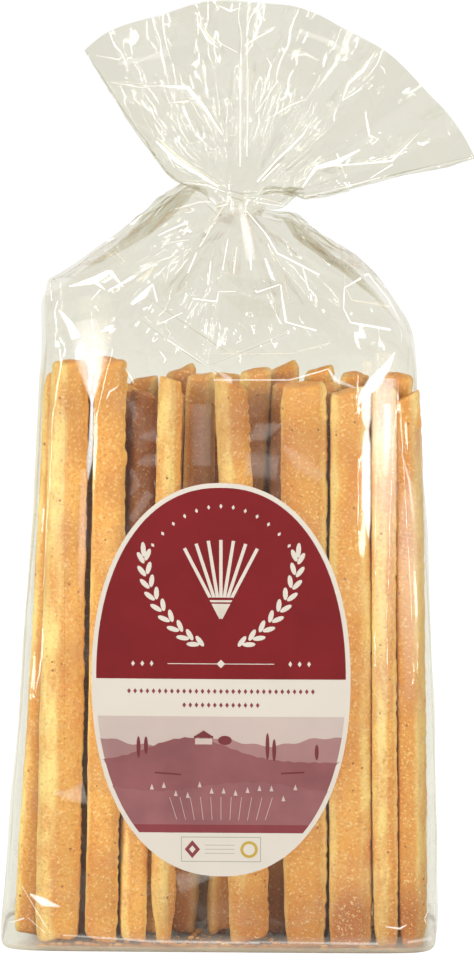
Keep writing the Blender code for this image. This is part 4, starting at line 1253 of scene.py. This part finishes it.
# The print: a sheaf of breadsticks between two ears of wheat on the maroon, borders of small lozenges
# on the cream, a hill farm in maroon tones below them, and a small plain badge at the foot. All of
# its sizes and places are in mm.
EAR_GRAINS = 9
GRAIN_HALF_WIDTH = 0.95
GRAIN_HALF_LENGTH = 2.5
GRAIN_SPLAY = 26.0
STALK_HALF_LENGTH = 15.0
STALK_HALF_WIDTH = 0.62
SHEAF_FOOT = 131.0
ARC_HALF_WIDTH = 40.5
ARC_HALF_HEIGHT = 67.0
ARC_STEP = 6.5
MARKS_Z = 113.5
BORDER_STEP = 2.3
BADGE_Z = 41.55
BADGE_HALF_WIDTH = 14.9
BADGE_HALF_HEIGHT = 4.75
BADGE_LOZENGE_X = -10.8
BADGE_RING_X = 10.6
UNDER = 0.03
MIDDLE = 0.07
OVER = 0.12
wheat = []
for flip in (-1.0, 1.0):
    for number in range(EAR_GRAINS):
        share = number / (EAR_GRAINS - 1.0)
        x = flip * (9.0 + 19.5 * math.sin(0.5 * math.pi * share))
        z = 121.0 + 33.0 * share**1.25
        lean = flip * -(62.0 - 58.0 * share)
        for aside, above, splay in ((1.5, 0.0, -GRAIN_SPLAY), (-1.1, 1.2, GRAIN_SPLAY)):
            wheat.append(("grain", x + flip * aside, z + above, GRAIN_HALF_WIDTH, GRAIN_HALF_LENGTH,
                          lean + flip * splay))
    wheat.append(("grain", flip * 29.0, 157.2, GRAIN_HALF_WIDTH, 2.9, flip * -4.0))
for turn_degrees in (-27.0, -18.0, -9.0, 0.0, 9.0, 18.0, 27.0):
    lean = math.radians(turn_degrees)
    x = -STALK_HALF_LENGTH * math.sin(lean)
    z = SHEAF_FOOT + STALK_HALF_LENGTH * math.cos(lean)
    wheat.append(("bar", x, z, STALK_HALF_LENGTH, STALK_HALF_WIDTH, turn_degrees + 90.0))
cut_shapes("print_sheaf_and_wheat", "cream", UNDER, wheat)
sheaf_band = [("bar", 0.0, 138.5, 4.6, 0.5, 0.0), ("bar", 0.0, 136.9, 4.4, 0.3, 0.0)]
cut_shapes("print_sheaf_band", "maroon", MIDDLE, sheaf_band)
marks = []
for step in range(-6, 7):
    lean = ARC_STEP * step
    x = ARC_HALF_WIDTH * math.cos(math.radians(90.0 + lean))
    z = LABEL_CENTRE_Z / MM + ARC_HALF_HEIGHT * math.sin(math.radians(90.0 + lean))
    marks.append(("lozenge", x, z, 0.6, 0.9, lean))
for x in (-33.0, -29.5, -26.0, 26.0, 29.5, 33.0):
    marks.append(("lozenge", x, MARKS_Z, 0.7, 1.1, 0.0))
marks.append(("bar", 0.0, MARKS_Z, 20.0, 0.14, 0.0))
marks.append(("lozenge", 0.0, MARKS_Z, 1.6, 1.6, 0.0))
cut_shapes("print_maroon_field_marks", "cream", UNDER, marks)
border = []
for border_z, half_count in ((102.9, 15), (97.6, 6)):
    for step in range(-half_count, half_count + 1):
        border.append(("lozenge", BORDER_STEP * step, border_z, 0.72, 1.05, 0.0))
cut_shapes("print_borders", "stripe", UNDER, border)


def far_hills(x):
    """The skyline of low hills far off."""
    return 83.5 + 1.6 * np.sin(0.14 * x + 2.2) + 0.5 * np.sin(0.6 * x)


def near_hill(x):
    """The skyline of the hill that the farm stands on."""
    return 75.5 + 9.5 * np.exp(-(((x + 12.0) / 21.0) ** 2)) + 0.25 * np.sin(1.3 * x)


def field(x):
    """The top of the field in front."""
    return 66.0 + 1.8 * np.sin(0.09 * x + 0.6) + 0.3 * np.sin(0.9 * x)


picture_layer("print_far_hills", "far", 0.03, far_hills)
picture_layer("print_hill", "hill", 0.06, near_hill)
picture_layer("print_field", "field", 0.09, field)
# The trees' x, foot and half height, and then the roofs, a bush and two hedges.
TREES = ((-31.0, 77.0, 4.2), (-28.2, 78.5, 3.4), (17.5, 76.5, 5.2), (20.0, 76.0, 4.3), (36.0, 76.5, 3.0))
trees = []
for x, z, tall in TREES:
    trees.append(("disc", x, z + tall, 0.75, tall, 0.0))
trees += [
    ("bar", -6.5, 85.2, 3.6, 0.5, 0.0),
    ("roof", -6.5, 86.2, 4.2, 1.6, 0.0),
    ("disc", 1.5, 84.0, 2.6, 1.8, 0.0),
    ("bar", 27.0, 71.5, 4.4, 0.35, 3.0),
    ("bar", -20.0, 71.0, 5.0, 0.3, -4.0),
]
cut_shapes("print_trees_and_roof", "dark", OVER, trees)
stooks = [("bar", -6.5, 83.7, 3.2, 1.3, 0.0)]
for number in range(13):
    x = -26.0 + 4.5 * number
    z = 65.5 - 0.35 * (number % 4) ** 2 + 1.2 * math.sin(2.1 * number)
    stooks.append(("roof", x, z, 0.85, 1.5, 0.0))
for step in range(-5, 6):
    stooks.append(("bar", 3.6 * step, 57.5, 4.5, 0.09, 90.0 - 3.4 * step))
cut_shapes("print_stooks_and_furrows", "light", OVER, stooks)
badge = []
for side in (1.0, -1.0):
    badge.append(("bar", 0.0, BADGE_Z + side * BADGE_HALF_HEIGHT, BADGE_HALF_WIDTH, 0.16, 0.0))
for side in (-1.0, 1.0):
    badge.append(("bar", side * BADGE_HALF_WIDTH, BADGE_Z, 4.9, 0.16, 90.0))
for rule_z in (43.2, 41.6, 40.0):
    badge.append(("bar", -0.5, rule_z, 5.6, 0.12, 0.0))
cut_shapes("print_badge_frame", "grey", UNDER, badge)
cut_shapes("print_badge_lozenge", "stripe", UNDER, [("lozenge", BADGE_LOZENGE_X, BADGE_Z, 2.9, 3.5, 0.0)])
cut_shapes("print_badge_ring", "gold", UNDER, [("disc", BADGE_RING_X, BADGE_Z, 3.3, 3.3, 0.0)])
middles = [
    ("disc", BADGE_RING_X, BADGE_Z, 2.2, 2.2, 0.0),
    ("lozenge", BADGE_LOZENGE_X, BADGE_Z, 1.2, 1.5, 0.0),
]
cut_shapes("print_badge_ring_middle", "cream", MIDDLE, middles)


# The tie: a narrow band of clear tape, wound once round the gathered neck and stuck to itself. The
# CAD model has the band, and it gets its finish here: a faint, slightly rippled, cloudy clear.
TAPE_COLOUR = (0.70, 0.68, 0.56, 1.0)
TAPE_BODY = 0.12
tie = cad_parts["tie"]
tie_tape, tree, output = new_material("clear_tape")
where = add_node(tree, "TexCoord").outputs["Object"]
ripple = add_node(tree, "TexNoise", Vector=where, Scale=700.0, Detail=2.0)
bump = add_node(tree, "Bump", Strength=0.4, Distance=0.3 * MM, Height=ripple.outputs["Fac"])
surface = add_node(tree, "BsdfPrincipled", Base_Color=TAPE_COLOUR, Roughness=0.5, Alpha=TAPE_BODY,
                   Normal=bump.outputs[0])
surface.inputs["Specular IOR Level"].default_value = 0.2
tree.links.new(surface.outputs[0], output.inputs["Surface"])
tie.data.materials.clear()
tie.data.materials.append(tie_tape)
